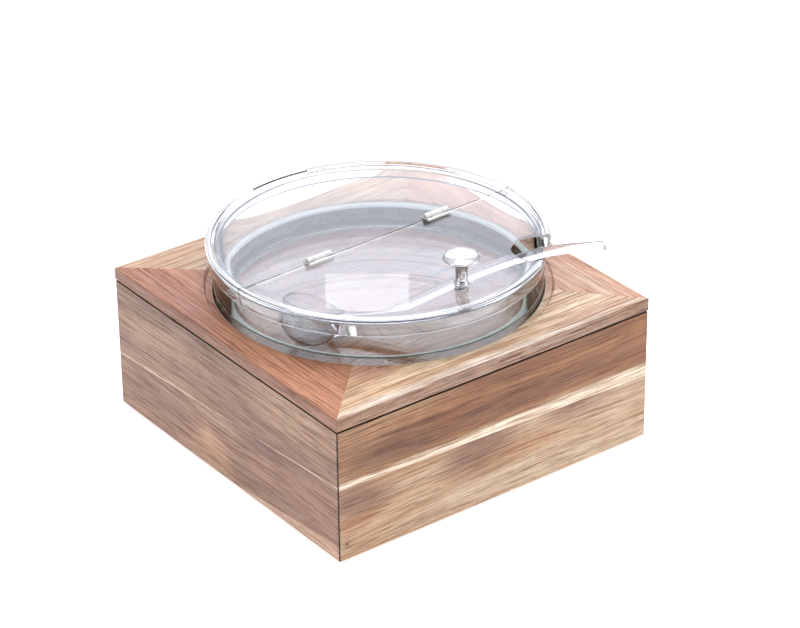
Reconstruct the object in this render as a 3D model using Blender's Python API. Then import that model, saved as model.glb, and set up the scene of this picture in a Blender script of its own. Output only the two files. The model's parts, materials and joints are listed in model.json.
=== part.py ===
"""Square wooden cold server: box, ice pan, floor board, lift-off frame, glass dish, split lid, ladle.

Metres, +Z up. The origin is at the middle of the foot print, on the surface the feet stand on.
The front is -Y. The dish, its lid and the ladle are round the Z axis.
"""
import math

import bmesh
import bpy
from mathutils import Matrix

# Fits
FIT_GAP = 0.0003
GLUE_GAP = 0.0001

# Box
BOX_SIDE = 0.3300
HALF = BOX_SIDE / 2
FOOT_STAND = 0.0020
WALL = 0.0150
WALL_TOP = FOOT_STAND + 0.1239
WALL_FOOT_RADIUS = 0.0025
CORNER_ARRIS = 0.0010
BASE_THICKNESS = 0.0090
BLOCK_SIDE = 0.0220
LEDGER_SIDE = 0.0140
LEDGER_TOP = FOOT_STAND + 0.1129
# Height above the wall's foot of the glue line between its two boards, at its left and right end
GLUE_LINES = {
    "front": (0.0698, 0.0607),
    "right": (0.0607, 0.0660),
    "back": (0.0660, 0.0510),
    "left": (0.0510, 0.0712),
}
SIDES = ("front", "right", "back", "left")
CORNERS = ("front_left", "front_right", "back_right", "back_left")

# Feet and the screws of the base
FOOT_RADIUS = 0.0095
FOOT_INSET = 0.0550
SCREW_RADIUS = 0.0020
SCREW_HEAD_RADIUS = 0.0040
SCREW_LENGTH = 0.0240
SCREW_INSET = WALL + 0.0113

# Ice pan and floor board
SHEET = 0.0010
PAN_FLANGE_HALF = 0.1480
PAN_TOP_HALF = 0.1340
PAN_FLOOR_HALF = 0.1290
PAN_DEPTH = 0.0830
PAN_CORNER = 0.0220
BOARD_THICKNESS = 0.0015
BOARD_CORNER_CUT = 0.0220
PAN_FLANGE_BOTTOM = LEDGER_TOP + FIT_GAP
BOARD_BOTTOM = PAN_FLANGE_BOTTOM + SHEET + FIT_GAP
BOARD_TOP = BOARD_BOTTOM + BOARD_THICKNESS

# Top frame
FRAME_BOTTOM = BOARD_TOP + FIT_GAP
FRAME_LIP_BOTTOM = WALL_TOP + 0.0012
FRAME_EDGE_TOP = FOOT_STAND + 0.1368
FRAME_REBATE = WALL + 0.0010
FRAME_RAIL_DEPTH = 0.0680
FRAME_RISE = 0.05
OPENING_RADIUS = 0.1436
TURNED_RING_RADIUS = 0.1496
TURNED_RING_TOP = FRAME_EDGE_TOP + 0.0008
OPENING_ARRIS = 0.0010
KEY_ALONG = 0.0360
KEY_ACROSS = 0.0300
KEY_THICKNESS = 0.0040
KEY_RADIUS = 0.1880
KEY_HEIGHT = FRAME_LIP_BOTTOM + 0.0040

# Glass dish
DISH_RADIUS = 0.1428
DISH_WALL = 0.0042
DISH_BASE = 0.0050
DISH_BOTTOM = BOARD_TOP + FIT_GAP
DISH_FLOOR = DISH_BOTTOM + DISH_BASE
DISH_TOP = FOOT_STAND + 0.1763
DISH_CORNER = 0.0060
DISH_STEP = 0.0045
DISH_STEP_TOP = FOOT_STAND + 0.1425
DISH_STEP_ROUND = 0.0025

# Lid, turned a little about Z from the sides of the box
LID_TURN = math.radians(1.7)
LID_SLIT = 0.0008
LID_PANEL_TOP = FOOT_STAND + 0.1810
LID_PANEL = 0.0024
LID_RING_RISE = 0.0013
LID_STEP_RADIUS = 0.1430
LID_RADIUS = 0.1485
LID_SKIRT_BOTTOM = FOOT_STAND + 0.1650
LID_SKIRT_BOTTOM_RADIUS = 0.1462
LID_SKIRT = 0.0024
LID_PANEL_BOTTOM = LID_PANEL_TOP - LID_PANEL
TAB_RADIUS = 0.1465
TAB_HALF_ANGLE = math.radians(12.0)
NOTCH_RADIUS = 0.0246
NOTCH_CENTRE_RADIUS = 0.1392
NOTCH_ANGLE = math.radians(-47.8)

# Lid hinges
HINGE_OFFSET = 0.0640
HINGE_LENGTH = 0.0250
HINGE_MIDDLE = 0.0118
KNUCKLE_RADIUS = 0.0025
HINGE_PAD_REACH = 0.0054
HINGE_PAD_THICKNESS = 0.0016
HINGE_PIN_RADIUS = 0.0010
HINGE_AXIS_HEIGHT = LID_PANEL_TOP + FIT_GAP + KNUCKLE_RADIUS + 0.0001

# Knob
KNOB_REACH = 0.1120
KNOB_HEIGHT = 0.0308
KNOB_HEAD_RADIUS = 0.0160
KNOB_NECK_RADIUS = 0.0052
KNOB_COLLAR_RADIUS = 0.0065
KNOB_BOTTOM = LID_PANEL_TOP + FIT_GAP
WASHER_THICKNESS = 0.0008
WASHER_RADIUS = 0.0060

# Ladle: it lies in one upright plane, which crosses the dish rim at LADLE_REST
LADLE_TURN = math.radians(-22.0)
LADLE_REST = (0.0936, -0.1060)
LADLE_THICKNESS = 0.0052
LADLE_WIDTH_END = 0.0130
LADLE_WIDTH_NECK = 0.0100
LADLE_CUP_RADIUS = 0.0277
LADLE_CUP_WALL = 0.0022
LADLE_CUP_LIP = 0.0055
LADLE_CUP_TILT = math.radians(22.0)
LADLE_CUP_CENTRE = (-0.2010, FOOT_STAND + 0.1493)
# Middle line of the handle: distance outward from the rest, height above the foot of the walls
LADLE_LINE = (
    (-0.1890, 0.1262),
    (-0.1780, 0.1269),
    (-0.1650, 0.1296),
    (-0.1290, 0.1420),
    (-0.0890, 0.1567),
    (-0.0600, 0.1664),
    (-0.0400, 0.1720),
    (-0.0233, 0.1754),
    (-0.0020, 0.1793),
    (0.0150, 0.1803),
    (0.0300, 0.1800),
    (0.0550, 0.1782),
)

# Facets
ROUND = 96
SMALL_ROUND = 24
TINY = 0.0002


def clear_scene():
    """Remove what the file starts with."""
    for item in list(bpy.data.objects):
        bpy.data.objects.remove(item, do_unlink=True)


def make_material(name, colour, roughness, metallic=0.0, transmission=0.0, alpha=1.0):
    """A Principled material."""
    material = bpy.data.materials.new(name)
    material.use_nodes = True
    shader = material.node_tree.nodes["Principled BSDF"]
    shader.inputs["Base Color"].default_value = (*colour, 1.0)
    shader.inputs["Roughness"].default_value = roughness
    shader.inputs["Metallic"].default_value = metallic
    shader.inputs["Transmission Weight"].default_value = transmission
    shader.inputs["Alpha"].default_value = alpha
    material.diffuse_color = (*colour, alpha)
    return material


def add_object(name, mesh_builder, material, smooth_angle=None):
    """Turn a finished bmesh into a named object in the scene."""
    bmesh.ops.recalc_face_normals(mesh_builder, faces=mesh_builder.faces)
    mesh = bpy.data.meshes.new(name)
    mesh_builder.to_mesh(mesh)
    mesh_builder.free()
    if smooth_angle is not None:
        mesh.shade_smooth()
        mesh.set_sharp_from_angle(angle=smooth_angle)
    piece = bpy.data.objects.new(name, mesh)
    bpy.context.scene.collection.objects.link(piece)
    if material is not None:
        mesh.materials.append(material)
    return piece


def add_cutter(name, mesh_builder):
    """A solid that only cuts others."""
    cutter = add_object(name, mesh_builder, None)
    cutter.hide_render = True
    cutter.display_type = "WIRE"
    return cutter


def cut(piece, cutter, operation="DIFFERENCE"):
    """Cut a piece with a cutter, or join the cutter's solid to it."""
    modifier = piece.modifiers.new(cutter.name, "BOOLEAN")
    modifier.operation = operation
    modifier.solver = "EXACT"
    modifier.object = cutter


def add_pivot(name, location, turn=0.0):
    """An empty on a joint's axis."""
    pivot = bpy.data.objects.new(name, None)
    pivot.location = location
    pivot.rotation_euler = (0.0, 0.0, turn)
    bpy.context.scene.collection.objects.link(pivot)
    return pivot


def hang_on(piece, pivot):
    """Parent a piece, modelled in the pivot's own frame, to the pivot."""
    piece.parent = pivot


def turn_about_z(x, y, angle):
    """A plan point turned about Z."""
    return (x * math.cos(angle) - y * math.sin(angle), x * math.sin(angle) + y * math.cos(angle))


def loft(loops, closed=False):
    """A skin over loops of points that match one to one, with a face on the first and last loop."""
    builder = bmesh.new()
    rings = [[builder.verts.new(point) for point in loop] for loop in loops]
    pairs = list(zip(rings, rings[1:]))
    if closed:
        pairs.append((rings[-1], rings[0]))
    for lower, upper in pairs:
        count = len(lower)
        for index in range(count):
            follower = (index + 1) % count
            builder.faces.new((lower[index], lower[follower], upper[follower], upper[index]))
    if not closed:
        builder.faces.new(rings[0])
        builder.faces.new(rings[-1])
    return builder


def lathe(profile, segments, centre=(0.0, 0.0)):
    """A solid turned about an upright axis. The profile is a list of (radius, height)."""
    builder = bmesh.new()
    rings = []
    for radius, height in profile:
        if radius < TINY / 10:
            rings.append([builder.verts.new((centre[0], centre[1], height))])
            continue
        ring = []
        for index in range(segments):
            angle = 2 * math.pi * index / segments
            ring.append(builder.verts.new((centre[0] + radius * math.cos(angle),
                                           centre[1] + radius * math.sin(angle), height)))
        rings.append(ring)
    pairs = list(zip(rings, rings[1:]))
    if len(rings[0]) > 1:
        pairs.append((rings[-1], rings[0]))
    for first, second in pairs:
        for index in range(segments):
            follower = (index + 1) % segments
            corners = [first[index % len(first)], first[follower % len(first)],
                       second[follower % len(second)], second[index % len(second)]]
            unique = list(dict.fromkeys(corners))
            if len(unique) > 2:
                builder.faces.new(unique)
    return builder


def arc(centre_radius, centre_height, radius, start, end, steps):
    """Profile points on a round stretch, with angles in degrees."""
    points = []
    for index in range(steps + 1):
        angle = math.radians(start + (end - start) * index / steps)
        points.append((centre_radius + radius * math.cos(angle), centre_height + radius * math.sin(angle)))
    return points


def block(low, high):
    """A box between two corners."""
    builder = bmesh.new()
    middle = [(a + b) / 2 for a, b in zip(low, high)]
    size = [b - a for a, b in zip(low, high)]
    matrix = Matrix.Translation(middle) @ Matrix.Diagonal((*size, 1.0))
    bmesh.ops.create_cube(builder, size=1.0, matrix=matrix)
    return builder


def bevel(builder, width, segments, wanted):
    """Round the edges that the test wanted(middle, direction) accepts."""
    edges = []
    for edge in builder.edges:
        start, end = edge.verts[0].co, edge.verts[1].co
        if wanted((start + end) / 2, (end - start).normalized()):
            edges.append(edge)
    bmesh.ops.bevel(builder, geom=edges, offset=width, segments=segments, profile=0.5, affect="EDGES")


def clip(builder, point, normal):
    """Cut off what lies beyond a plane and close the cut."""
    geometry = list(builder.verts) + list(builder.edges) + list(builder.faces)
    bmesh.ops.bisect_plane(builder, geom=geometry, dist=TINY / 100, plane_co=point, plane_no=normal,
                           clear_outer=True)
    open_edges = [edge for edge in builder.edges if edge.is_boundary]
    bmesh.ops.contextual_create(builder, geom=open_edges)


def clip_front_corners(builder):
    """Take the sharp arris off the two upright outer corners of a front piece."""
    for sense in (-1, 1):
        clip(builder, (sense * (HALF - CORNER_ARRIS), -HALF, 0.0), (sense, -1.0, 0.0))


def place_on_side(builder, side):
    """Turn a shape modelled on the front of the box to another side."""
    angle = math.pi / 2 * SIDES.index(side)
    bmesh.ops.rotate(builder, verts=builder.verts, cent=(0, 0, 0), matrix=Matrix.Rotation(angle, 3, "Z"))


def corner_signs(corner):
    """The X and Y sense of a corner of the box."""
    return (-1 if corner.endswith("left") else 1, -1 if corner.startswith("front") else 1)


def rounded_square(half, radius, height, steps=5):
    """A square loop with round corners."""
    points = []
    for quarter in range(4):
        start = math.pi / 2 * quarter
        sign_x, sign_y = ((1, 1), (-1, 1), (-1, -1), (1, -1))[quarter]
        for index in range(steps + 1):
            angle = start + math.pi / 2 * index / steps
            points.append((sign_x * (half - radius) + radius * math.cos(angle),
                           sign_y * (half - radius) + radius * math.sin(angle), height))
    return points


def make_wall_board(side, level, material):
    """One of the two mitred boards of a wall. Their glue line runs at a slant."""
    left, right = GLUE_LINES[side]
    end_gap = GLUE_GAP * 1.5 * math.sqrt(2)

    def glue_height(x):
        return FOOT_STAND + left + (right - left) * (x + HALF) / BOX_SIDE

    loops = []
    for depth in (0.0, WALL):
        reach = HALF - depth - end_gap
        y = -HALF + depth
        if level == "lower":
            low, high = (FOOT_STAND, FOOT_STAND), [glue_height(x) - GLUE_GAP / 2 for x in (-reach, reach)]
        else:
            low, high = [glue_height(x) + GLUE_GAP / 2 for x in (-reach, reach)], (WALL_TOP, WALL_TOP)
        loops.append([(-reach, y, low[0]), (reach, y, low[1]), (reach, y, high[1]), (-reach, y, high[0])])
    builder = loft(loops)

    def on_outer_foot(middle, direction):
        return middle.z < FOOT_STAND + TINY and middle.y < -HALF + TINY

    def on_top(middle, direction):
        return middle.z > WALL_TOP - TINY and abs(direction.x) > 0.9

    if level == "lower":
        bevel(builder, WALL_FOOT_RADIUS, 3, on_outer_foot)
    else:
        bevel(builder, 0.0006, 2, on_top)
    clip_front_corners(builder)
    place_on_side(builder, side)
    return add_object(f"{side}_board_{level}", builder, material)


def make_base_panel(material, cutters):
    """The bottom of the box, between the walls."""
    half = HALF - WALL - FIT_GAP
    panel = add_object("base_panel", block((-half, -half, FOOT_STAND),
                                           (half, half, FOOT_STAND + BASE_THICKNESS)), material)
    for cutter in cutters.values():
        cut(panel, cutter)
    return panel


def make_screw_hole(corner):
    """Countersunk hole through the base and up into a corner block."""
    sign_x, sign_y = corner_signs(corner)
    centre = (sign_x * (HALF - SCREW_INSET), sign_y * (HALF - SCREW_INSET))
    wide = SCREW_HEAD_RADIUS + 0.0006
    narrow = SCREW_RADIUS + FIT_GAP
    profile = [(0.0, FOOT_STAND - 0.001), (wide, FOOT_STAND - 0.001), (wide, FOOT_STAND + 0.0010),
               (narrow, FOOT_STAND + 0.0034), (narrow, FOOT_STAND + SCREW_LENGTH + 0.0015),
               (0.0, FOOT_STAND + SCREW_LENGTH + 0.0015)]
    return add_cutter(f"screw_hole_{corner}", lathe(profile, SMALL_ROUND, centre))


def make_base_screw(corner, material):
    """A slotted countersunk screw."""
    sign_x, sign_y = corner_signs(corner)
    centre = (sign_x * (HALF - SCREW_INSET), sign_y * (HALF - SCREW_INSET))
    face = FOOT_STAND + 0.0005
    profile = [(0.0, face), (SCREW_HEAD_RADIUS - 0.0002, face), (SCREW_HEAD_RADIUS, face + 0.0003),
               (SCREW_RADIUS, face + 0.0026), (SCREW_RADIUS, FOOT_STAND + SCREW_LENGTH - 0.002),
               (0.0, FOOT_STAND + SCREW_LENGTH)]
    screw = add_object(f"base_screw_{corner}", lathe(profile, SMALL_ROUND, centre), material, 0.6)
    slot = block((centre[0] - 0.0030, centre[1] - 0.0005, face - 0.001),
                 (centre[0] + 0.0030, centre[1] + 0.0005, face + 0.0010))
    cut(screw, add_cutter(f"slot_{corner}", slot))
    return screw


def make_corner_block(corner, material, cutter):
    """Glue block in a corner of the box, from the base to the ledgers."""
    sign_x, sign_y = corner_signs(corner)
    outer = HALF - WALL - FIT_GAP
    inner = outer - BLOCK_SIDE
    xs = sorted((sign_x * inner, sign_x * outer))
    ys = sorted((sign_y * inner, sign_y * outer))
    low = FOOT_STAND + BASE_THICKNESS + FIT_GAP
    high = LEDGER_TOP - LEDGER_SIDE - FIT_GAP
    piece = add_object(f"corner_block_{corner}", block((xs[0], ys[0], low), (xs[1], ys[1], high)), material)
    cut(piece, cutter)
    return piece


def make_ledger(side, material):
    """Strip along a wall that carries the ice pan's flange."""
    outer = HALF - WALL - FIT_GAP
    reach = outer if side in ("front", "back") else outer - LEDGER_SIDE - FIT_GAP
    builder = block((-reach, -outer, LEDGER_TOP - LEDGER_SIDE), (reach, -outer + LEDGER_SIDE, LEDGER_TOP))
    place_on_side(builder, side)
    return add_object(f"pan_ledger_{side}", builder, material)


def make_foot(corner, material):
    """Round rubber pad under a corner."""
    sign_x, sign_y = corner_signs(corner)
    centre = (sign_x * (HALF - FOOT_INSET), sign_y * (HALF - FOOT_INSET))
    top = FOOT_STAND - FIT_GAP
    profile = [(0.0, 0.0), (FOOT_RADIUS - 0.0008, 0.0), (FOOT_RADIUS, 0.0006), (FOOT_RADIUS, top), (0.0, top)]
    return add_object(f"foot_pad_{corner}", lathe(profile, SMALL_ROUND, centre), material, 0.6)


def make_ice_pan(material):
    """Square sheet-metal pan with a flat flange, hung in the box."""
    flange_low = PAN_FLANGE_BOTTOM
    flange_high = flange_low + SHEET
    floor_low = flange_high - PAN_DEPTH
    curve = 0.0080
    loops = [
        rounded_square(PAN_FLOOR_HALF - curve, PAN_CORNER - curve, floor_low),
        rounded_square(PAN_FLOOR_HALF, PAN_CORNER, floor_low + curve),
        rounded_square(PAN_TOP_HALF, PAN_CORNER, flange_low),
        rounded_square(PAN_FLANGE_HALF, PAN_CORNER, flange_low),
        rounded_square(PAN_FLANGE_HALF, PAN_CORNER, flange_high),
        rounded_square(PAN_TOP_HALF - SHEET, PAN_CORNER - SHEET, flange_high),
        rounded_square(PAN_FLOOR_HALF - SHEET, PAN_CORNER - SHEET, floor_low + curve),
        rounded_square(PAN_FLOOR_HALF - curve, PAN_CORNER - curve, floor_low + SHEET),
    ]
    return add_object("ice_pan", loft(loops), material, 0.5)


def make_floor_board(material):
    """Thin wooden board with clipped corners. The dish and the top frame stand on it."""
    half = PAN_FLANGE_HALF
    short = half - BOARD_CORNER_CUT
    outline = ((half, -short), (half, short), (short, half), (-short, half),
               (-half, short), (-half, -short), (-short, -half), (short, -half))
    loops = [[(x, y, height) for x, y in outline] for height in (BOARD_BOTTOM, BOARD_TOP)]
    return add_object("floor_board", loft(loops), material)


def make_opening_cutter():
    """Turned solid for the round opening, its arris and the flat ring turned round it."""
    arris = OPENING_ARRIS
    cone = 0.0030
    profile = [(0.0, FRAME_BOTTOM - 0.01), (OPENING_RADIUS, FRAME_BOTTOM - 0.01)]
    profile += arc(OPENING_RADIUS + arris, TURNED_RING_TOP - arris, arris, 180, 90, 4)
    profile += [(TURNED_RING_RADIUS, TURNED_RING_TOP),
                (TURNED_RING_RADIUS + 3 * cone, TURNED_RING_TOP + 2.2 * cone),
                (0.0, TURNED_RING_TOP + 2.2 * cone)]
    return add_cutter("opening_cutter", lathe(profile, ROUND))


def key_solid(corner, clearance):
    """The flat key of one mitre, or with a clearance the slot that it sits in."""
    along = KEY_ALONG / 2 + clearance
    across = KEY_ACROSS / 2 + clearance
    thick = KEY_THICKNESS / 2 + clearance
    builder = block((KEY_RADIUS - along, -across, KEY_HEIGHT - thick),
                    (KEY_RADIUS + along, across, KEY_HEIGHT + thick))
    sign_x, sign_y = corner_signs(corner)
    angle = math.atan2(sign_y, sign_x)
    bmesh.ops.rotate(builder, verts=builder.verts, cent=(0, 0, 0), matrix=Matrix.Rotation(angle, 3, "Z"))
    return builder


def make_frame_rail(side, material, opening, slots):
    """Mitred rail with a rebate that drops inside the walls and a top that rises gently inward."""
    section = ((0.0, FRAME_LIP_BOTTOM), (FRAME_REBATE, FRAME_LIP_BOTTOM), (FRAME_REBATE, FRAME_BOTTOM),
               (FRAME_RAIL_DEPTH, FRAME_BOTTOM),
               (FRAME_RAIL_DEPTH, FRAME_EDGE_TOP + FRAME_RISE * FRAME_RAIL_DEPTH), (0.0, FRAME_EDGE_TOP))
    end_gap = GLUE_GAP / 2 * math.sqrt(2)
    loops = []
    for sense in (-1, 1):
        loops.append([(sense * (HALF - depth - end_gap), -HALF + depth, height) for depth, height in section])
    builder = loft(loops)

    def on_outer_edge(middle, direction):
        return middle.y < -HALF + TINY and abs(direction.x) > 0.9

    bevel(builder, 0.0009, 3, on_outer_edge)
    clip_front_corners(builder)
    place_on_side(builder, side)
    rail = add_object(f"frame_rail_{side}", builder, material)
    cut(rail, opening)
    for slot in slots:
        cut(rail, slot)
    return rail


def make_dish(material):
    """Turned glass dish with a round rim and a rounded step inside, where the lower wall is thicker."""
    half_wall = DISH_WALL / 2
    inner = DISH_RADIUS - DISH_WALL
    low_inner = inner - DISH_STEP
    profile = [(0.0, DISH_BOTTOM)]
    profile += arc(DISH_RADIUS - DISH_CORNER, DISH_BOTTOM + DISH_CORNER, DISH_CORNER, -90, 0, 4)
    profile += arc(DISH_RADIUS - half_wall, DISH_TOP - half_wall, half_wall, 0, 180, 6)
    profile += [(inner, DISH_STEP_TOP)]
    profile += arc(low_inner + DISH_STEP_ROUND, DISH_STEP_TOP - DISH_STEP_ROUND, DISH_STEP_ROUND, 90, 180, 3)
    profile += arc(low_inner - DISH_CORNER, DISH_FLOOR + DISH_CORNER, DISH_CORNER, 0, -90, 4)
    profile += [(0.0, DISH_FLOOR)]
    return add_object("glass_dish", lathe(profile, ROUND), material, 0.5)


def lid_profile():
    """Section of the whole lid: recessed panel, raised edge ring, skirt, and a rib on the dish rim."""
    ring_top = LID_PANEL_TOP + LID_RING_RISE
    corner = 0.0018
    skirt_inner = LID_SKIRT_BOTTOM_RADIUS - LID_SKIRT
    rib_bottom = DISH_TOP + FIT_GAP
    rib_inner = DISH_RADIUS - DISH_WALL + 0.0008
    rib_outer = DISH_RADIUS - 0.0008
    profile = [(0.0, LID_PANEL_TOP), (LID_STEP_RADIUS, LID_PANEL_TOP), (LID_STEP_RADIUS + 0.0006, ring_top)]
    profile += arc(LID_RADIUS - corner, ring_top - corner, corner, 90, 0, 3)
    profile += [(LID_SKIRT_BOTTOM_RADIUS, LID_SKIRT_BOTTOM + 0.0004),
                (LID_SKIRT_BOTTOM_RADIUS - 0.0006, LID_SKIRT_BOTTOM),
                (skirt_inner, LID_SKIRT_BOTTOM),
                (LID_RADIUS - LID_SKIRT - 0.0004, LID_PANEL_BOTTOM - 0.0020),
                (LID_RADIUS - LID_SKIRT - 0.0020, LID_PANEL_BOTTOM),
                (rib_outer, LID_PANEL_BOTTOM), (rib_outer - 0.0003, rib_bottom),
                (rib_inner + 0.0003, rib_bottom), (rib_inner, LID_PANEL_BOTTOM), (0.0, LID_PANEL_BOTTOM)]
    return profile


def make_lid_half(name, sense, material):
    """Half of the lid on one side of the slit, with its cut face closed."""
    builder = lathe(lid_profile(), ROUND)
    clip(builder, (0.0, sense * LID_SLIT / 2, 0.0), (0.0, -sense, 0.0))
    return add_object(name, builder, material, 0.5)


def make_tab_cutter():
    """The thumb recess at the back of the edge ring, level with the panel."""
    inner, outer = LID_STEP_RADIUS - 0.0010, TAB_RADIUS
    low, high = LID_PANEL_TOP, LID_PANEL_TOP + 0.01
    loops = []
    for step in range(9):
        angle = math.pi / 2 + TAB_HALF_ANGLE * (step / 4 - 1)
        loops.append([(radius * math.cos(angle), radius * math.sin(angle), height)
                      for radius, height in ((inner, low), (outer, low), (outer, high), (inner, high))])
    return add_cutter("tab_cutter", loft(loops))


def make_flap_cutters():
    """The ladle notch and the knob screw's hole, in the flap."""
    notch_x = NOTCH_CENTRE_RADIUS * math.cos(NOTCH_ANGLE)
    notch_y = NOTCH_CENTRE_RADIUS * math.sin(NOTCH_ANGLE)
    low = LID_SKIRT_BOTTOM - 0.01
    high = LID_PANEL_TOP + 0.01
    notch = lathe([(0.0, low), (NOTCH_RADIUS, low), (NOTCH_RADIUS, high), (0.0, high)], 48, (notch_x, notch_y))
    hole = SCREW_RADIUS + FIT_GAP
    bore = lathe([(0.0, low), (hole, low), (hole, high), (0.0, high)], SMALL_ROUND, (0.0, -KNOB_REACH))
    return add_cutter("notch_cutter", notch), add_cutter("knob_bore_cutter", bore)


def make_hinge_leaf(name, centre, sense, material):
    """Clear hinge leaf: a pad on one half of the lid and its knuckles round the pin.

    sense +1 is the rear leaf with two end knuckles, -1 the front leaf with the middle knuckle.
    """
    low = -KNUCKLE_RADIUS - 0.0001
    pad_top = low + HINGE_PAD_THICKNESS
    corner = 0.0005
    outline = [(HINGE_PAD_REACH, low), (HINGE_PAD_REACH, pad_top - corner),
               (HINGE_PAD_REACH - corner, pad_top), (KNUCKLE_RADIUS * 1.15, pad_top)]
    outline += arc(0.0, 0.0, KNUCKLE_RADIUS, 20, 270, 12)
    half = HINGE_LENGTH / 2
    loops = []
    for x in (-half, half):
        loops.append([(centre + x, sense * y, HINGE_AXIS_HEIGHT + z) for y, z in outline])
    leaf = add_object(name, loft(loops), material, 0.6)
    clear = KNUCKLE_RADIUS + 0.0005
    below, above = HINGE_AXIS_HEIGHT - 0.01, HINGE_AXIS_HEIGHT + 0.01
    sides = sorted((sense * clear, -sense * 0.01))
    middle = HINGE_MIDDLE / 2
    if sense > 0:
        spans = [(-middle - FIT_GAP, middle + FIT_GAP)]
    else:
        spans = [(-half - 0.001, -middle), (middle, half + 0.001)]
    for index, (start, end) in enumerate(spans):
        gap = block((centre + start, sides[0], below), (centre + end, sides[1], above))
        cut(leaf, add_cutter(f"{name}_gap_{index}", gap))
    bore = lathe([(0.0, -half - 0.001), (HINGE_PIN_RADIUS + FIT_GAP, -half - 0.001),
                  (HINGE_PIN_RADIUS + FIT_GAP, half + 0.001), (0.0, half + 0.001)], 16)
    lay_along_x(bore, centre)
    cut(leaf, add_cutter(f"{name}_bore", bore))
    return leaf


def lay_along_x(builder, centre):
    """Lay a shape turned about Z down on the hinge axis."""
    bmesh.ops.rotate(builder, verts=builder.verts, cent=(0, 0, 0), matrix=Matrix.Rotation(math.pi / 2, 3, "Y"))
    bmesh.ops.translate(builder, verts=builder.verts, vec=(centre, 0.0, HINGE_AXIS_HEIGHT))


def make_hinge_pin(name, centre, material):
    """Straight pin with eased ends."""
    half = HINGE_LENGTH / 2 + 0.0003
    ease = 0.0003
    profile = [(0.0, -half), (HINGE_PIN_RADIUS - ease, -half), (HINGE_PIN_RADIUS, -half + ease),
               (HINGE_PIN_RADIUS, half - ease), (HINGE_PIN_RADIUS - ease, half), (0.0, half)]
    builder = lathe(profile, 12)
    lay_along_x(builder, centre)
    return add_object(name, builder, material, 0.6)


def make_knob(material):
    """Turned metal knob: beaded collar, neck, mushroom head, and a blind screw hole from below."""
    z = KNOB_BOTTOM
    head = z + 0.0260
    hole = SCREW_RADIUS + FIT_GAP
    profile = [(hole, z), (KNOB_COLLAR_RADIUS - 0.0012, z), (KNOB_COLLAR_RADIUS - 0.0006, z + 0.0008)]
    profile += arc(KNOB_COLLAR_RADIUS - 0.0010, z + 0.0026, 0.0010, -60, 60, 3)
    profile += [(KNOB_NECK_RADIUS, z + 0.0044), (KNOB_NECK_RADIUS, z + 0.0120),
                (KNOB_NECK_RADIUS + 0.0003, z + 0.0160), (KNOB_NECK_RADIUS + 0.0014, z + 0.0192)]
    profile += [(0.0100, z + 0.0212), (0.0138, z + 0.0236)]
    profile += arc(KNOB_HEAD_RADIUS - 0.0006, head, 0.0006, -40, 40, 2)
    dome = KNOB_BOTTOM + KNOB_HEIGHT - head
    for share in (0.84, 0.62, 0.36):
        profile.append((KNOB_HEAD_RADIUS * share, head + dome * math.sqrt(1 - share * share)))
    profile += [(0.0, head + dome)]
    profile += [(0.0, z + 0.0115), (hole, z + 0.0105)]
    return add_object("lid_knob", lathe(profile, 32, (0.0, -KNOB_REACH)), material, 0.6)


def make_knob_washer(material):
    """Flat washer under the flap."""
    top = LID_PANEL_BOTTOM - FIT_GAP
    low = top - WASHER_THICKNESS
    hole = SCREW_RADIUS + FIT_GAP
    profile = [(hole, low), (WASHER_RADIUS, low), (WASHER_RADIUS, top), (hole, top)]
    return add_object("knob_washer", lathe(profile, SMALL_ROUND, (0.0, -KNOB_REACH)), material, 0.6)


def make_knob_screw(material):
    """Pan-head screw up through washer and flap into the knob."""
    head_top = LID_PANEL_BOTTOM - 2 * FIT_GAP - WASHER_THICKNESS
    tip = KNOB_BOTTOM + 0.0100
    profile = [(0.0, head_top - 0.0022), (0.0026, head_top - 0.0021), (0.0038, head_top - 0.0012),
               (0.0040, head_top), (SCREW_RADIUS, head_top), (SCREW_RADIUS, tip - 0.0008), (0.0, tip)]
    return add_object("knob_screw", lathe(profile, SMALL_ROUND, (0.0, -KNOB_REACH)), material, 0.6)


def smooth_line(points, steps):
    """Points on a smooth curve through the given points (Catmull-Rom)."""
    first = tuple(2 * a - b for a, b in zip(points[0], points[1]))
    last = tuple(2 * a - b for a, b in zip(points[-1], points[-2]))
    chain = [first, *points, last]
    result = []
    for index in range(1, len(chain) - 2):
        before, start, end, after = chain[index - 1:index + 3]
        for step in range(steps):
            t = step / steps
            result.append(tuple(
                0.5 * (2 * b + (c - a) * t + (2 * a - 5 * b + 4 * c - d) * t * t
                       + (3 * b - a - 3 * c + d) * t ** 3)
                for a, b, c, d in zip(before, start, end, after)))
    result.append(points[-1])
    return result


def squarish(value):
    """Push a sine or cosine towards the corners of a rounded rectangle."""
    return math.copysign(abs(value) ** 0.75, value)


def handle_section(along, height, slope, width, thickness):
    """One loop of the handle: a rounded oval across its middle line."""
    sides = 12
    loop = []
    for index in range(sides):
        angle = 2 * math.pi * (index + 0.5) / sides
        across = width / 2 * squarish(math.cos(angle))
        up = thickness / 2 * squarish(math.sin(angle))
        loop.append((along - up * math.sin(slope), across, height + up * math.cos(slope)))
    return loop


def handle_loops():
    """Loops of the handle's section, from the cup to the eased outer end."""
    line = [(along, FOOT_STAND + height) for along, height in smooth_line(LADLE_LINE, 3)]
    length = line[-1][0] - line[0][0]
    loops = []
    for index, (along, height) in enumerate(line):
        before = line[max(index - 1, 0)]
        after = line[min(index + 1, len(line) - 1)]
        slope = math.atan2(after[1] - before[1], after[0] - before[0])
        share = (along - line[0][0]) / length
        width = LADLE_WIDTH_NECK + (LADLE_WIDTH_END - LADLE_WIDTH_NECK) * share
        loops.append(handle_section(along, height, slope, width, LADLE_THICKNESS))
    along, height = line[-1]
    for further, shrink in ((0.0012, 0.0010), (0.0018, 0.0026)):
        loops.append(handle_section(along + further, height - 0.0001, slope, LADLE_WIDTH_END - shrink,
                                    LADLE_THICKNESS - shrink))
    return loops


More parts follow.
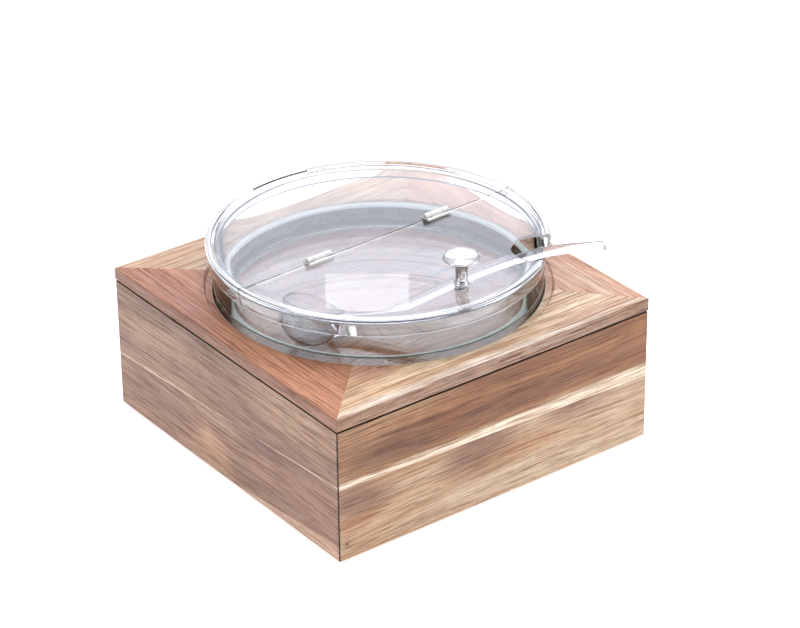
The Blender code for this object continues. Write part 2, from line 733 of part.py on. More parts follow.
def cup_section(radius):
    """Section of a round-bottomed cup, from its lowest point up to its rim."""
    return [(0.0, -radius)] + arc(0.0, 0.0, radius, -80, 0, 8) + [(radius, LADLE_CUP_LIP)]


def place_cup(builder):
    """Tilt a turned cup towards the handle and set it in the ladle's plane."""
    along, height = LADLE_CUP_CENTRE
    bmesh.ops.rotate(builder, verts=builder.verts, cent=(0, 0, 0), matrix=Matrix.Rotation(LADLE_CUP_TILT, 3, "Y"))
    bmesh.ops.translate(builder, verts=builder.verts, vec=(along, 0.0, height))
    return builder


def make_ladle(material):
    """Clear ladle: a tilted round cup and a handle that rises and levels off over the dish rim."""
    inner_radius = LADLE_CUP_RADIUS - LADLE_CUP_WALL
    inner = cup_section(inner_radius)
    cup = place_cup(lathe(cup_section(LADLE_CUP_RADIUS) + inner[::-1], 36))
    ladle = add_object("ladle", cup, material, 0.6)
    handle = add_cutter("ladle_handle", loft(handle_loops()))
    hollow = place_cup(lathe(inner + [(inner_radius, 0.020), (0.0, 0.020)], 36))
    cavity = add_cutter("ladle_cavity", hollow)
    cut(ladle, handle, "UNION")
    cut(ladle, cavity)
    return ladle, (handle, cavity)


def build_box():
    """Walls, base, blocks, ledgers, screws and feet, which don't move."""
    wood = make_material("acacia", (0.36, 0.19, 0.10), 0.45)
    inner_wood = make_material("pine", (0.62, 0.46, 0.28), 0.6)
    steel = make_material("zinc_screw", (0.62, 0.62, 0.60), 0.35, metallic=1.0)
    rubber = make_material("rubber", (0.02, 0.02, 0.02), 0.8)
    for side in SIDES:
        for level in ("upper", "lower"):
            make_wall_board(side, level, wood)
        make_ledger(side, inner_wood)
    holes = {corner: make_screw_hole(corner) for corner in CORNERS}
    make_base_panel(inner_wood, holes)
    for corner in CORNERS:
        make_corner_block(corner, inner_wood, holes[corner])
        make_base_screw(corner, steel)
        make_foot(corner, rubber)


def build_pan_and_board():
    """The ice pan and the board over it."""
    steel = make_material("brushed_steel", (0.60, 0.60, 0.62), 0.28, metallic=1.0)
    wood = make_material("brown_board", (0.24, 0.13, 0.09), 0.45)
    make_ice_pan(steel)
    make_floor_board(wood)


def build_top_frame():
    """Four mitred rails with a key in each mitre."""
    wood = make_material("acacia_top", (0.52, 0.29, 0.17), 0.4)
    key_wood = make_material("beech_key", (0.66, 0.48, 0.30), 0.6)
    opening = make_opening_cutter()
    slots = {corner: add_cutter(f"key_slot_{corner}", key_solid(corner, FIT_GAP)) for corner in CORNERS}
    for index, side in enumerate(SIDES):
        ends = (slots[CORNERS[index]], slots[CORNERS[(index + 1) % 4]])
        make_frame_rail(side, wood, opening, ends)
    for corner in CORNERS:
        add_object(f"mitre_key_{corner}", key_solid(corner, 0.0), key_wood)


def build_lid():
    """Rear half, flap, hinges and knob, all in the lid's own turned frame."""
    acrylic = make_material("clear_acrylic", (0.95, 0.97, 0.98), 0.05, transmission=1.0, alpha=0.35)
    chrome = make_material("chrome", (0.85, 0.85, 0.86), 0.08, metallic=1.0)
    lid_pivot = add_pivot("lid_pivot", (0.0, 0.0, 0.0), LID_TURN)
    hinge = add_pivot("flap_hinge_axis", (0.0, 0.0, HINGE_AXIS_HEIGHT), LID_TURN)
    rear = make_lid_half("lid_rear_half", 1, acrylic)
    cut(rear, make_tab_cutter())
    on_lid = [rear]
    flap = make_lid_half("lid_front_flap", -1, acrylic)
    on_flap = [flap, make_knob(chrome), make_knob_washer(chrome), make_knob_screw(chrome)]
    cutters = make_flap_cutters()
    for cutter in cutters:
        cut(flap, cutter)
    for side, sense in (("left", -1), ("right", 1)):
        centre = sense * HINGE_OFFSET
        on_lid.append(make_hinge_leaf(f"hinge_leaf_rear_{side}", centre, 1, acrylic))
        on_lid.append(make_hinge_pin(f"hinge_pin_{side}", centre, chrome))
        on_flap.append(make_hinge_leaf(f"hinge_leaf_front_{side}", centre, -1, acrylic))
    for piece in list(on_lid) + list(on_flap):
        for modifier in piece.modifiers:
            if modifier.object.parent is None:
                hang_on(modifier.object, lid_pivot)
    for piece in on_lid:
        hang_on(piece, lid_pivot)
    for piece in on_flap:
        hang_on(piece, hinge)
        piece.location = (0.0, 0.0, -HINGE_AXIS_HEIGHT)


def build_dish_and_ladle():
    """The glass dish, and the ladle whose handle rests on its rim."""
    glass = make_material("glass", (0.90, 0.97, 0.95), 0.02, transmission=1.0, alpha=0.35)
    acrylic = make_material("ladle_acrylic", (0.96, 0.97, 0.98), 0.06, transmission=1.0, alpha=0.35)
    make_dish(glass)
    pivot = add_pivot("ladle_pivot", (*LADLE_REST, 0.0), LADLE_TURN)
    ladle, helpers = make_ladle(acrylic)
    for piece in (ladle, *helpers):
        hang_on(piece, pivot)


def main():
    """Build every piece."""
    clear_scene()
    build_box()
    build_pan_and_board()
    build_top_frame()
    build_dish_and_ladle()
    build_lid()


main()
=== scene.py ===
import bpy
import bmesh
import json
import math
from mathutils import Matrix, Quaternion, Vector


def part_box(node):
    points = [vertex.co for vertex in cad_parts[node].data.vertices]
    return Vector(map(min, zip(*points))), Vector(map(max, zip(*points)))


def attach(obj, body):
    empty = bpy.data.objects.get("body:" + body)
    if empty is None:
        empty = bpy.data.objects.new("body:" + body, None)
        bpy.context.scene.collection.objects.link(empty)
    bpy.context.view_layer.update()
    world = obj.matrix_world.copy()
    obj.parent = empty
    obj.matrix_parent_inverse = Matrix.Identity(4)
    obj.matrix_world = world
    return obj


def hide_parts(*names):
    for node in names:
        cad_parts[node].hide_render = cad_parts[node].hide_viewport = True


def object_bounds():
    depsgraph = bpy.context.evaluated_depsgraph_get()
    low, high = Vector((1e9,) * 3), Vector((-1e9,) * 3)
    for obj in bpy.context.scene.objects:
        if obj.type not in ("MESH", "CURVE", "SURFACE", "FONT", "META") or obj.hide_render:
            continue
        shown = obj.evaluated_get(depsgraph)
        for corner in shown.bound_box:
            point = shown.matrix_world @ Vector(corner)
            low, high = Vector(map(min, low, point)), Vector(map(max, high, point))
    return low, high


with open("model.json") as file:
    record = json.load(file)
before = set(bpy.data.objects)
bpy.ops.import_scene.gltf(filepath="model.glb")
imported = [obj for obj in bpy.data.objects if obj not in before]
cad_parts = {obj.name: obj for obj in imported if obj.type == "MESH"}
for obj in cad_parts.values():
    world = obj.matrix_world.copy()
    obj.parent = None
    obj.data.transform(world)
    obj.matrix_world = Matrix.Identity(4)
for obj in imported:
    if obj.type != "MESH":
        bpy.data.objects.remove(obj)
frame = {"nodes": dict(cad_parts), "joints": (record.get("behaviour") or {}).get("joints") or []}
cad_low, cad_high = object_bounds()
nodes = frame["nodes"]
joints = {joint["name"]: joint for joint in frame["joints"]}


# ---------------------------------------------------------------- node helpers

def srgb(red, green, blue):
    """Linear colour of an 8-bit display colour."""
    channels = []
    for value in (red, green, blue):
        value /= 255
        channels.append(value / 12.92 if value <= 0.04045 else ((value + 0.055) / 1.055) ** 2.4)
    return (*channels, 1.0)


class Graph:
    """A material, with short calls for its nodes. A value may be a number, a colour or a socket."""

    def __init__(self, name):
        self.material = bpy.data.materials.new(name)
        self.material.use_nodes = True
        self.tree = self.material.node_tree
        self.shader = self.tree.nodes["Principled BSDF"]
        self.object_coordinates = None

    def put(self, socket, value):
        """Link a socket to an input, or set the input's own value."""
        if isinstance(value, bpy.types.NodeSocket):
            self.tree.links.new(value, socket)
        else:
            socket.default_value = value

    def set(self, **values):
        """Set the main shader's inputs by name, with _ for a space."""
        for name, value in values.items():
            self.put(self.shader.inputs[name.replace("_", " ")], value)

    def math(self, operation, a, b=0.0):
        node = self.tree.nodes.new("ShaderNodeMath")
        node.operation = operation
        self.put(node.inputs[0], a)
        self.put(node.inputs[1], b)
        return node.outputs[0]

    def add(self, *terms):
        total = terms[0]
        for term in terms[1:]:
            total = self.math("ADD", total, term)
        return total

    def scale(self, value, factor):
        return self.math("MULTIPLY", value, factor)

    def swing(self, value, spread):
        """A value from 0 to 1 as a swing about 0, spread wide."""
        return self.scale(self.math("SUBTRACT", value, 0.5), spread)

    def length(self, a, b):
        """Length of the vector (a, b)."""
        return self.math("SQRT", self.add(self.math("MULTIPLY", a, a), self.math("MULTIPLY", b, b)))

    def mix(self, factor, a, b, blend="MIX"):
        node = self.tree.nodes.new("ShaderNodeMix")
        node.data_type = "RGBA"
        node.blend_type = blend
        self.put(node.inputs[0], factor)
        self.put(node.inputs[6], a)
        self.put(node.inputs[7], b)
        return node.outputs[2]

    def remap(self, value, low, high, new_low=0.0, new_high=1.0, smooth=True):
        node = self.tree.nodes.new("ShaderNodeMapRange")
        node.interpolation_type = "SMOOTHSTEP" if smooth else "LINEAR"
        for index, item in enumerate((value, low, high, new_low, new_high)):
            self.put(node.inputs[index], item)
        return node.outputs[0]

    def position(self):
        """The object's own X, Y and Z."""
        if self.object_coordinates is None:
            source = self.tree.nodes.new("ShaderNodeTexCoord")
            split = self.tree.nodes.new("ShaderNodeSeparateXYZ")
            self.tree.links.new(source.outputs["Object"], split.inputs[0])
            self.object_coordinates = tuple(split.outputs)
        return self.object_coordinates

    def vector(self, x, y, z):
        node = self.tree.nodes.new("ShaderNodeCombineXYZ")
        for socket, value in zip(node.inputs, (x, y, z)):
            self.put(socket, value)
        return node.outputs[0]

    def noise(self, vector, scale=1.0, detail=2.0, roughness=0.5):
        node = self.tree.nodes.new("ShaderNodeTexNoise")
        node.inputs["Scale"].default_value = scale
        node.inputs["Detail"].default_value = detail
        node.inputs["Roughness"].default_value = roughness
        self.put(node.inputs["Vector"], vector)
        return node.outputs["Fac"]

    def bump(self, height, distance, strength=1.0):
        node = self.tree.nodes.new("ShaderNodeBump")
        node.inputs["Strength"].default_value = strength
        node.inputs["Distance"].default_value = distance
        self.put(node.inputs["Height"], height)
        self.put(self.shader.inputs["Normal"], node.outputs[0])

    def absorb(self, colour, density):
        """Tint light by the distance that it passes through the material."""
        node = self.tree.nodes.new("ShaderNodeVolumeAbsorption")
        node.inputs["Color"].default_value = colour
        node.inputs["Density"].default_value = density
        output = self.tree.nodes["Material Output"]
        self.tree.links.new(node.outputs[0], output.inputs["Volume"])


def paint(node_name, material):
    """Give a CAD node its one material."""
    materials = nodes[node_name].data.materials
    materials.clear()
    materials.append(material)


# ---------------------------------------------------------------- wood

FOOT_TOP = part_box("front_board_lower")[0].z
HALF = cad_high.x
BEND = 0.0168
RIPPLE = 0.0021
GRAIN_RELIEF = 0.00022
PATCH_START = 1.35
PATCH_FULL = 0.35
SEAM_DARK = srgb(30, 19, 14)
# Painted shade: near-black that stands in for the shadow in the gap under the top frame.
PAINTED_GAP_SHADE = srgb(20, 13, 10)
OPENING = 0.1436


def z(height):
    """A height above the foot of the walls."""
    return FOOT_TOP + height


def wood(name, grain, seed, light, dark, patches=(), stripe=None, streak=0.55, pore=0.45,
         across="z", band=42.0, tone=(0.68, 0.64, 0.62), edges_and_painted_light=None):
    """Oiled hardwood: bands, streaks, fine lines and pores along the grain, and soft patches of colour.

    grain is the axis that the fibres run along and across the axis of the board's width. A patch is
    (along, across, half length, half width, colour, strength) in metres. streak and pore are the
    strengths of those marks, band sets how many broad bands there are, and tone tints the whole board.
    stripe adds what only this board shows below the fine marks, and the last argument adds it above them:
    dark seams, painted shade and painted highlights.
    """
    graph = Graph(name)
    axes = dict(zip("xyz", graph.position()))
    along = axes[grain]
    width = axes[across]
    depth = axes[({"x", "y", "z"} - {grain, across}).pop()]
    bend = graph.noise(graph.vector(graph.scale(along, 5.0), graph.scale(width, 7.0), seed), detail=1.0)
    ripple = graph.noise(graph.vector(graph.scale(along, 30.0), graph.scale(width, 50.0), seed + 3),
                         detail=1.0)
    warped = graph.add(width, graph.add(graph.swing(bend, BEND), graph.swing(ripple, RIPPLE)))

    def fibres(along_scale, across_scale, offset, detail):
        """A pattern drawn out along the grain."""
        point = graph.vector(graph.add(graph.scale(along, along_scale), seed + offset),
                             graph.scale(warped, across_scale), graph.scale(depth, across_scale))
        return graph.noise(point, detail=detail, roughness=0.6)

    bands = fibres(3.0, band, 0.0, 3.0)
    streaks = fibres(11.0, 330.0, 7.0, 3.0)
    lines = fibres(20.0, 1150.0, 13.0, 3.0)
    pores = fibres(60.0, 2100.0, 19.0, 1.0)
    figure = graph.noise(graph.vector(graph.scale(along, 60.0), graph.scale(width, 16.0), seed + 5))

    colour = graph.mix(graph.remap(bands, 0.32, 0.68), dark, light)
    ragged = graph.add(graph.swing(streaks, 0.9), graph.swing(bend, 0.5), graph.swing(figure, 0.35))
    for centre, height, half_length, half_width, tint, strength in patches:
        a = graph.scale(graph.math("SUBTRACT", along, centre), 1 / half_length)
        b = graph.scale(graph.math("SUBTRACT", warped, height), 1 / half_width)
        mask = graph.remap(graph.add(graph.length(a, b), ragged), PATCH_START, PATCH_FULL, 0.0, strength)
        colour = graph.mix(mask, colour, tint)
    if stripe:
        colour = stripe(graph, along, width, streaks, colour)

    dark_streak = graph.remap(streaks, 0.48, 0.68, 0.0, streak)
    colour = graph.mix(dark_streak, colour, srgb(178, 146, 118), "MULTIPLY")
    pale_streak = graph.remap(streaks, 0.46, 0.30, 0.0, streak * 0.6)
    colour = graph.mix(pale_streak, colour, srgb(96, 78, 56), "SCREEN")
    dark_line = graph.remap(lines, 0.49, 0.62, 0.0, 0.95)
    colour = graph.mix(dark_line, colour, srgb(184, 154, 128), "MULTIPLY")
    dark_pore = graph.remap(pores, 0.57, 0.68, 0.0, pore)
    colour = graph.mix(dark_pore, colour, srgb(140, 108, 84), "MULTIPLY")
    shimmer = graph.remap(figure, 0.35, 0.65, 0.0, 0.16, smooth=False)
    colour = graph.mix(shimmer, colour, srgb(190, 178, 168), "MULTIPLY")

    colour = graph.mix(1.0, colour, (*tone, 1.0), "MULTIPLY")
    if edges_and_painted_light:
        # Dark seams, and painted shade and painted highlights at the edges, over everything else.
        colour = edges_and_painted_light(graph, axes, streaks, colour)

    worn_smooth = graph.add(graph.scale(lines, 0.5), graph.scale(streaks, 0.5))
    graph.set(Base_Color=colour, Specular_IOR_Level=0.45)
    graph.set(Roughness=graph.remap(worn_smooth, 0.3, 0.7, 0.36, 0.58))
    relief = graph.add(graph.scale(lines, 0.5), graph.scale(dark_pore, -1.2), graph.scale(streaks, 0.35))
    graph.bump(relief, GRAIN_RELIEF, 0.6)
    return graph.material


def board_edges(along):
    """Dark mitre seams at a board's ends, and painted shade on the outer top edge for the shadow gap under
    the frame.
    """
    across = "y" if along == "x" else "x"

    def edges_and_painted_light(graph, axes, streaks, colour):
        end = graph.add(graph.math("ABSOLUTE", axes[along]), graph.swing(streaks, 0.0006))
        seam = graph.remap(end, HALF - 0.0013, HALF - 0.0007, 0.0, 0.95)
        colour = graph.mix(seam, colour, SEAM_DARK)
        # Painted shade: the outer 3 to 5 mm of the wall's top edge goes near-black for the shadow of the
        # gap under the frame.
        high = graph.remap(axes["z"], z(0.1235), z(0.1238), 0.0, 0.97)
        outer = graph.remap(graph.math("ABSOLUTE", axes[across]), HALF - 0.0050, HALF - 0.0030)
        return graph.mix(graph.math("MULTIPLY", high, outer), colour, PAINTED_GAP_SHADE)

    return edges_and_painted_light


def rail_edges(face, sense, outer_face_shade, opening_highlight_colour):
    """Painted shade on the lip underneath and on the outer face, and a painted highlight as a pale band
    round the opening.
    """
    def edges_and_painted_light(graph, axes, streaks, colour):
        # Painted shade: the outer face is multiplied by a darker tint for its side, a shaded copy of the
        # rail's wood.
        outward = graph.scale(axes[face], sense)
        side = graph.remap(outward, HALF - 0.0010, HALF - 0.0003, 0.0, 0.9)
        colour = graph.mix(side, colour, (*outer_face_shade, 1.0), "MULTIPLY")
        # Painted highlight: a pale band at the top of the rounded edge round the opening.
        radius = graph.add(graph.length(axes["x"], axes["y"]), graph.scale(streaks, 0.0008))
        ring = graph.remap(radius, OPENING + 0.0018, OPENING + 0.0012, 0.0, 0.5)
        high = graph.remap(axes["z"], z(0.1345), z(0.1365))
        colour = graph.mix(graph.math("MULTIPLY", ring, high), colour, opening_highlight_colour)
        # Painted shade: the lip underneath goes near-black for the shadow of the gap under the frame.
        under = graph.remap(axes["z"], z(0.1256), z(0.1253), 0.0, 0.97)
        return graph.mix(under, colour, PAINTED_GAP_SHADE)

    return edges_and_painted_light


def glue_line(graph, along, start, end):
    """Height of a joint that runs straight from one height to another over the board's length."""
    return graph.add(z(start), graph.scale(graph.add(along, HALF), (end - start) / (2 * HALF)))


def sapwood(graph, along, width, streaks, colour):
    """The cream stripe along the glue line of the upper front board, wider towards the right."""
    height = graph.math("SUBTRACT", width, glue_line(graph, along, 0.0698, 0.0607))
    sway = graph.noise(graph.vector(graph.scale(along, 9.0), 4.0, 2.0), detail=3.0)
    reach = graph.add(graph.scale(graph.add(along, HALF), 0.025), graph.scale(sway, 0.006), 0.0006)
    fuzzy = graph.add(height, graph.swing(streaks, 0.007))
    upper = graph.add(reach, 0.0030)
    lower = graph.add(reach, -0.0014)
    warm = graph.remap(fuzzy, graph.add(reach, 0.0085), reach, 0.0, 0.55)
    colour = graph.mix(warm, colour, srgb(206, 172, 134))
    mask = graph.remap(fuzzy, upper, lower, 0.0, 0.95)
    return graph.mix(mask, colour, (1.24, 1.18, 1.12, 1.0))


def pale_seam(graph, along, width, streaks, colour):
    """Thin pale line at the glue line of the left face, strongest near its ends."""
    height = graph.math("SUBTRACT", width, glue_line(graph, along, 0.0712, 0.0510))
    sway = graph.noise(graph.vector(graph.scale(along, 6.0), 9.0, 5.0), detail=2.0)
    thick = graph.remap(graph.math("ABSOLUTE", graph.add(along, 0.02)), 0.05, 0.11, 0.0004, 0.0016)
    thick = graph.math("MULTIPLY", thick, graph.add(sway, 0.5))
    mask = graph.remap(height, graph.add(thick, 0.0006), thick, 0.0, 0.75)
    return graph.mix(mask, colour, (1.15, 1.02, 0.94, 1.0))


def bottom_strip(graph, along, width, streaks, colour):
    """Lighter strip that tapers along the foot of the left face."""
    taper = 0.017 / 0.195
    line = graph.add(FOOT_TOP, graph.scale(graph.math("SUBTRACT", 0.030, along), taper))
    below = graph.math("SUBTRACT", line, graph.add(width, graph.scale(streaks, 0.002)))
    mask = graph.remap(below, -0.0008, 0.0010, 0.0, 0.9)
    return graph.mix(mask, colour, srgb(232, 200, 178))


def knot(graph, along, width, streaks, colour):
    """Small dark knot near the foot of the front left corner."""
    a = graph.math("SUBTRACT", along, -0.1572)
    b = graph.math("SUBTRACT", width, z(0.0160))
    distance = graph.add(graph.length(a, b), graph.swing(streaks, 0.002))
    halo = graph.remap(distance, 0.0060, 0.0012, 0.0, 0.45)
    colour = graph.mix(halo, colour, srgb(150, 112, 84))
    core = graph.remap(distance, 0.0016, 0.0006)
    return graph.mix(core, colour, srgb(58, 38, 28))


def paint_box():
    """The eight boards, each with its own colour and figure, and the plain wood inside."""
    brown = srgb(148, 102, 70)
    rich = srgb(182, 126, 80)
    tan = srgb(200, 166, 132)
    gold = srgb(222, 188, 150)
    pale = srgb(232, 210, 184)
    mauve = srgb(168, 130, 108)
    orange = srgb(212, 160, 116)
    upper_front = wood("front_upper_wood", "x", 1.0, rich, brown, (
        (-0.120, z(0.119), 0.075, 0.013, tan, 0.85),
        (-0.150, z(0.095), 0.035, 0.030, srgb(190, 150, 118), 0.7),
        (-0.060, z(0.110), 0.080, 0.006, srgb(196, 146, 104), 0.6),
        (0.060, z(0.117), 0.090, 0.007, srgb(146, 98, 68), 0.7),
        (0.050, z(0.106), 0.110, 0.006, srgb(184, 134, 94), 0.6),
        (-0.100, z(0.086), 0.050, 0.012, srgb(134, 96, 76), 0.7),
        (0.020, z(0.088), 0.120, 0.010, srgb(140, 98, 74), 0.6),
        (0.130, z(0.100), 0.040, 0.010, srgb(178, 128, 92), 0.5)),
        stripe=sapwood, tone=(0.68, 0.62, 0.54), edges_and_painted_light=board_edges("x"))
    lower_front = wood("front_lower_wood", "x", 2.0, pale, gold, (
        (-0.144, z(0.054), 0.036, 0.018, mauve, 1.0),
        (-0.150, z(0.034), 0.040, 0.006, orange, 0.6),
        (-0.105, z(0.062), 0.035, 0.008, srgb(206, 168, 130), 0.6),
        (-0.020, z(0.052), 0.040, 0.022, mauve, 1.0),
        (-0.020, z(0.034), 0.050, 0.010, srgb(206, 170, 134), 0.6),
        (0.095, z(0.058), 0.040, 0.014, mauve, 1.0),
        (0.030, z(0.040), 0.045, 0.010, srgb(214, 172, 132), 0.6),
        (0.060, z(0.012), 0.130, 0.014, srgb(240, 222, 196), 0.7),
        (-0.150, z(0.008), 0.040, 0.008, srgb(208, 172, 138), 0.6),
        (0.130, z(0.045), 0.060, 0.020, srgb(232, 208, 178), 0.6)),
        stripe=knot, streak=0.5, edges_and_painted_light=board_edges("x"))
    umber = srgb(164, 132, 114)
    taupe = srgb(190, 158, 136)
    fawn = srgb(206, 176, 150)
    left_tone = (0.67, 0.62, 0.59)
    upper_left = wood("left_upper_wood", "y", 3.0, taupe, umber, (
        (0.060, z(0.120), 0.110, 0.008, srgb(156, 130, 114), 0.8),
        (-0.110, z(0.105), 0.070, 0.014, fawn, 0.7),
        (0.110, z(0.094), 0.060, 0.010, srgb(204, 172, 144), 0.6),
        (0.010, z(0.082), 0.110, 0.012, srgb(166, 134, 118), 0.6),
        (-0.140, z(0.088), 0.030, 0.010, srgb(170, 140, 124), 0.5),
        (0.150, z(0.070), 0.030, 0.010, srgb(154, 124, 114), 0.6),
        (-0.060, z(0.070), 0.060, 0.006, srgb(160, 128, 114), 0.5)),
        stripe=pale_seam, streak=0.5, pore=0.6, tone=left_tone, edges_and_painted_light=board_edges("y"))
    lower_left = wood("left_lower_wood", "y", 4.0, srgb(188, 152, 132), srgb(160, 126, 112), (
        (0.020, z(0.052), 0.040, 0.010, fawn, 0.6),
        (0.022, z(0.022), 0.036, 0.017, srgb(226, 190, 158), 1.0),
        (0.030, z(0.010), 0.060, 0.010, srgb(206, 170, 140), 0.6),
        (-0.055, z(0.062), 0.040, 0.010, srgb(154, 124, 116), 0.7),
        (0.100, z(0.030), 0.060, 0.012, srgb(164, 132, 118), 0.6),
        (0.140, z(0.006), 0.050, 0.010, srgb(194, 160, 136), 0.6),
        (-0.020, z(0.026), 0.020, 0.018, srgb(166, 132, 116), 0.7)),
        stripe=bottom_strip, streak=0.5, pore=0.6, tone=left_tone, edges_and_painted_light=board_edges("y"))
    upper_right = wood("right_upper_wood", "y", 5.0, srgb(196, 148, 106), srgb(150, 108, 78), (
        (0.080, z(0.100), 0.060, 0.014, srgb(208, 170, 130), 0.7),
        (-0.100, z(0.092), 0.060, 0.014, srgb(140, 100, 74), 0.6)), edges_and_painted_light=board_edges("y"))
    lower_right = wood("right_lower_wood", "y", 6.0, srgb(226, 196, 160), srgb(196, 156, 120), (
        (0.040, z(0.040), 0.050, 0.016, mauve, 0.8),
        (-0.110, z(0.030), 0.050, 0.012, srgb(200, 158, 118), 0.6)), edges_and_painted_light=board_edges("y"))
    upper_back = wood("back_upper_wood", "x", 7.0, srgb(214, 182, 146), srgb(182, 146, 114), (
        (0.060, z(0.110), 0.080, 0.010, srgb(160, 120, 90), 0.6),
        (-0.070, z(0.085), 0.070, 0.014, srgb(224, 196, 162), 0.7)), edges_and_painted_light=board_edges("x"))
    lower_back = wood("back_lower_wood", "x", 8.0, srgb(186, 146, 114), srgb(152, 114, 88), (
        (-0.080, z(0.035), 0.050, 0.014, srgb(130, 94, 74), 0.7),
        (0.090, z(0.030), 0.050, 0.012, srgb(206, 170, 136), 0.6)), edges_and_painted_light=board_edges("x"))
    for side, upper, lower in (("front", upper_front, lower_front), ("left", upper_left, lower_left),
                               ("right", upper_right, lower_right), ("back", upper_back, lower_back)):
        paint(f"{side}_board_upper", upper)
        paint(f"{side}_board_lower", lower)
    pine = srgb(226, 196, 152)
    pine_dark = srgb(204, 168, 122)
    inner = wood("pine_wood", "x", 9.0, pine, pine_dark, streak=0.35, pore=0.2, across="y")
    inner_y = wood("pine_wood_y", "y", 10.0, pine, pine_dark, streak=0.35, pore=0.2)
    upright = wood("block_wood", "z", 11.0, srgb(222, 190, 146), srgb(198, 160, 116), streak=0.35,
                   pore=0.2, across="x")
    paint("base_panel", inner)
    for side in ("front", "back"):
        paint(f"pan_ledger_{side}", inner)
    for side in ("left", "right"):
        paint(f"pan_ledger_{side}", inner_y)
    for end in ("front", "back"):
        for hand in ("left", "right"):
            paint(f"corner_block_{end}_{hand}", upright)


def smooth_mesh(obj, angle=35.0):
    """Round shading with crisp edges above an angle."""
    obj.data.shade_smooth()
    obj.data.set_sharp_from_angle(angle=math.radians(angle))


def new_object(name, builder, material=None, angle=35.0):
    """A finished bmesh as a named piece."""
    bmesh.ops.recalc_face_normals(builder, faces=builder.faces)
    mesh = bpy.data.meshes.new(name)
    builder.to_mesh(mesh)
    builder.free()
    obj = bpy.data.objects.new(name, mesh)
    bpy.context.scene.collection.objects.link(obj)
    smooth_mesh(obj, angle)
    if material:
        mesh.materials.append(material)
    return obj


def apply_modifiers(obj):
    """Fix an object's modifiers into its mesh."""
    bpy.context.view_layer.update()
    graph = bpy.context.evaluated_depsgraph_get()
    mesh = bpy.data.meshes.new_from_object(obj.evaluated_get(graph))
    old = obj.data
    obj.modifiers.clear()
    obj.data = mesh
    mesh.name = obj.name
    bpy.data.meshes.remove(old)


def cut(obj, cutter, operation="DIFFERENCE"):
    """Cut or join with another solid, which is then removed."""
    modifier = obj.modifiers.new("cut", "BOOLEAN")
    modifier.solver = "EXACT"
    modifier.operation = operation
    modifier.object = cutter
    apply_modifiers(obj)
    mesh = cutter.data
    bpy.data.objects.remove(cutter)
    bpy.data.meshes.remove(mesh)


def strip(builder, loops, closed_profile=True, cap=True):
    """Skin over loops of points; closed_profile joins each loop's ends, and cap closes both ends."""
    rings = [[builder.verts.new(point) for point in loop] for loop in loops]
    for first, second in zip(rings, rings[1:]):
        count = len(first)
        for index in range(count if closed_profile else count - 1):
            follower = (index + 1) % count
            builder.faces.new((first[index], first[follower], second[follower], second[index]))
    if cap:
        builder.faces.new(rings[0])
        builder.faces.new(rings[-1])
    return rings


def arc(centre_radius, centre_height, radius, start, end, steps):
    """Profile points on a round stretch, in degrees."""
    points = []
    for index in range(steps + 1):
        angle = math.radians(start + (end - start) * index / steps)
        points.append((centre_radius + radius * math.cos(angle),
                       centre_height + radius * math.sin(angle)))
    return points


def lathe(profile, segments, centre=(0.0, 0.0)):
    """A closed profile turned about an upright axis. A point at radius 0 becomes a pole."""
    builder = bmesh.new()
    rings = []
    for radius, height in profile:
        if radius < 1e-6:
            rings.append([builder.verts.new((*centre, height))])
            continue
        ring = []
        for index in range(segments):
            turn = 2 * math.pi * index / segments
            ring.append(builder.verts.new((centre[0] + radius * math.cos(turn),
                                           centre[1] + radius * math.sin(turn), height)))
        rings.append(ring)
    pairs = list(zip(rings, rings[1:]))
    if len(rings[0]) > 1 or len(rings[-1]) > 1:
        pairs.append((rings[-1], rings[0]))
    for first, second in pairs:
        for index in range(segments):
            follower = (index + 1) % segments
            corners = list(dict.fromkeys((first[index % len(first)], first[follower % len(first)],
                                          second[follower % len(second)], second[index % len(second)])))
            if len(corners) > 2:
                builder.faces.new(corners)
    return builder


# ---------------------------------------------------------------- top frame

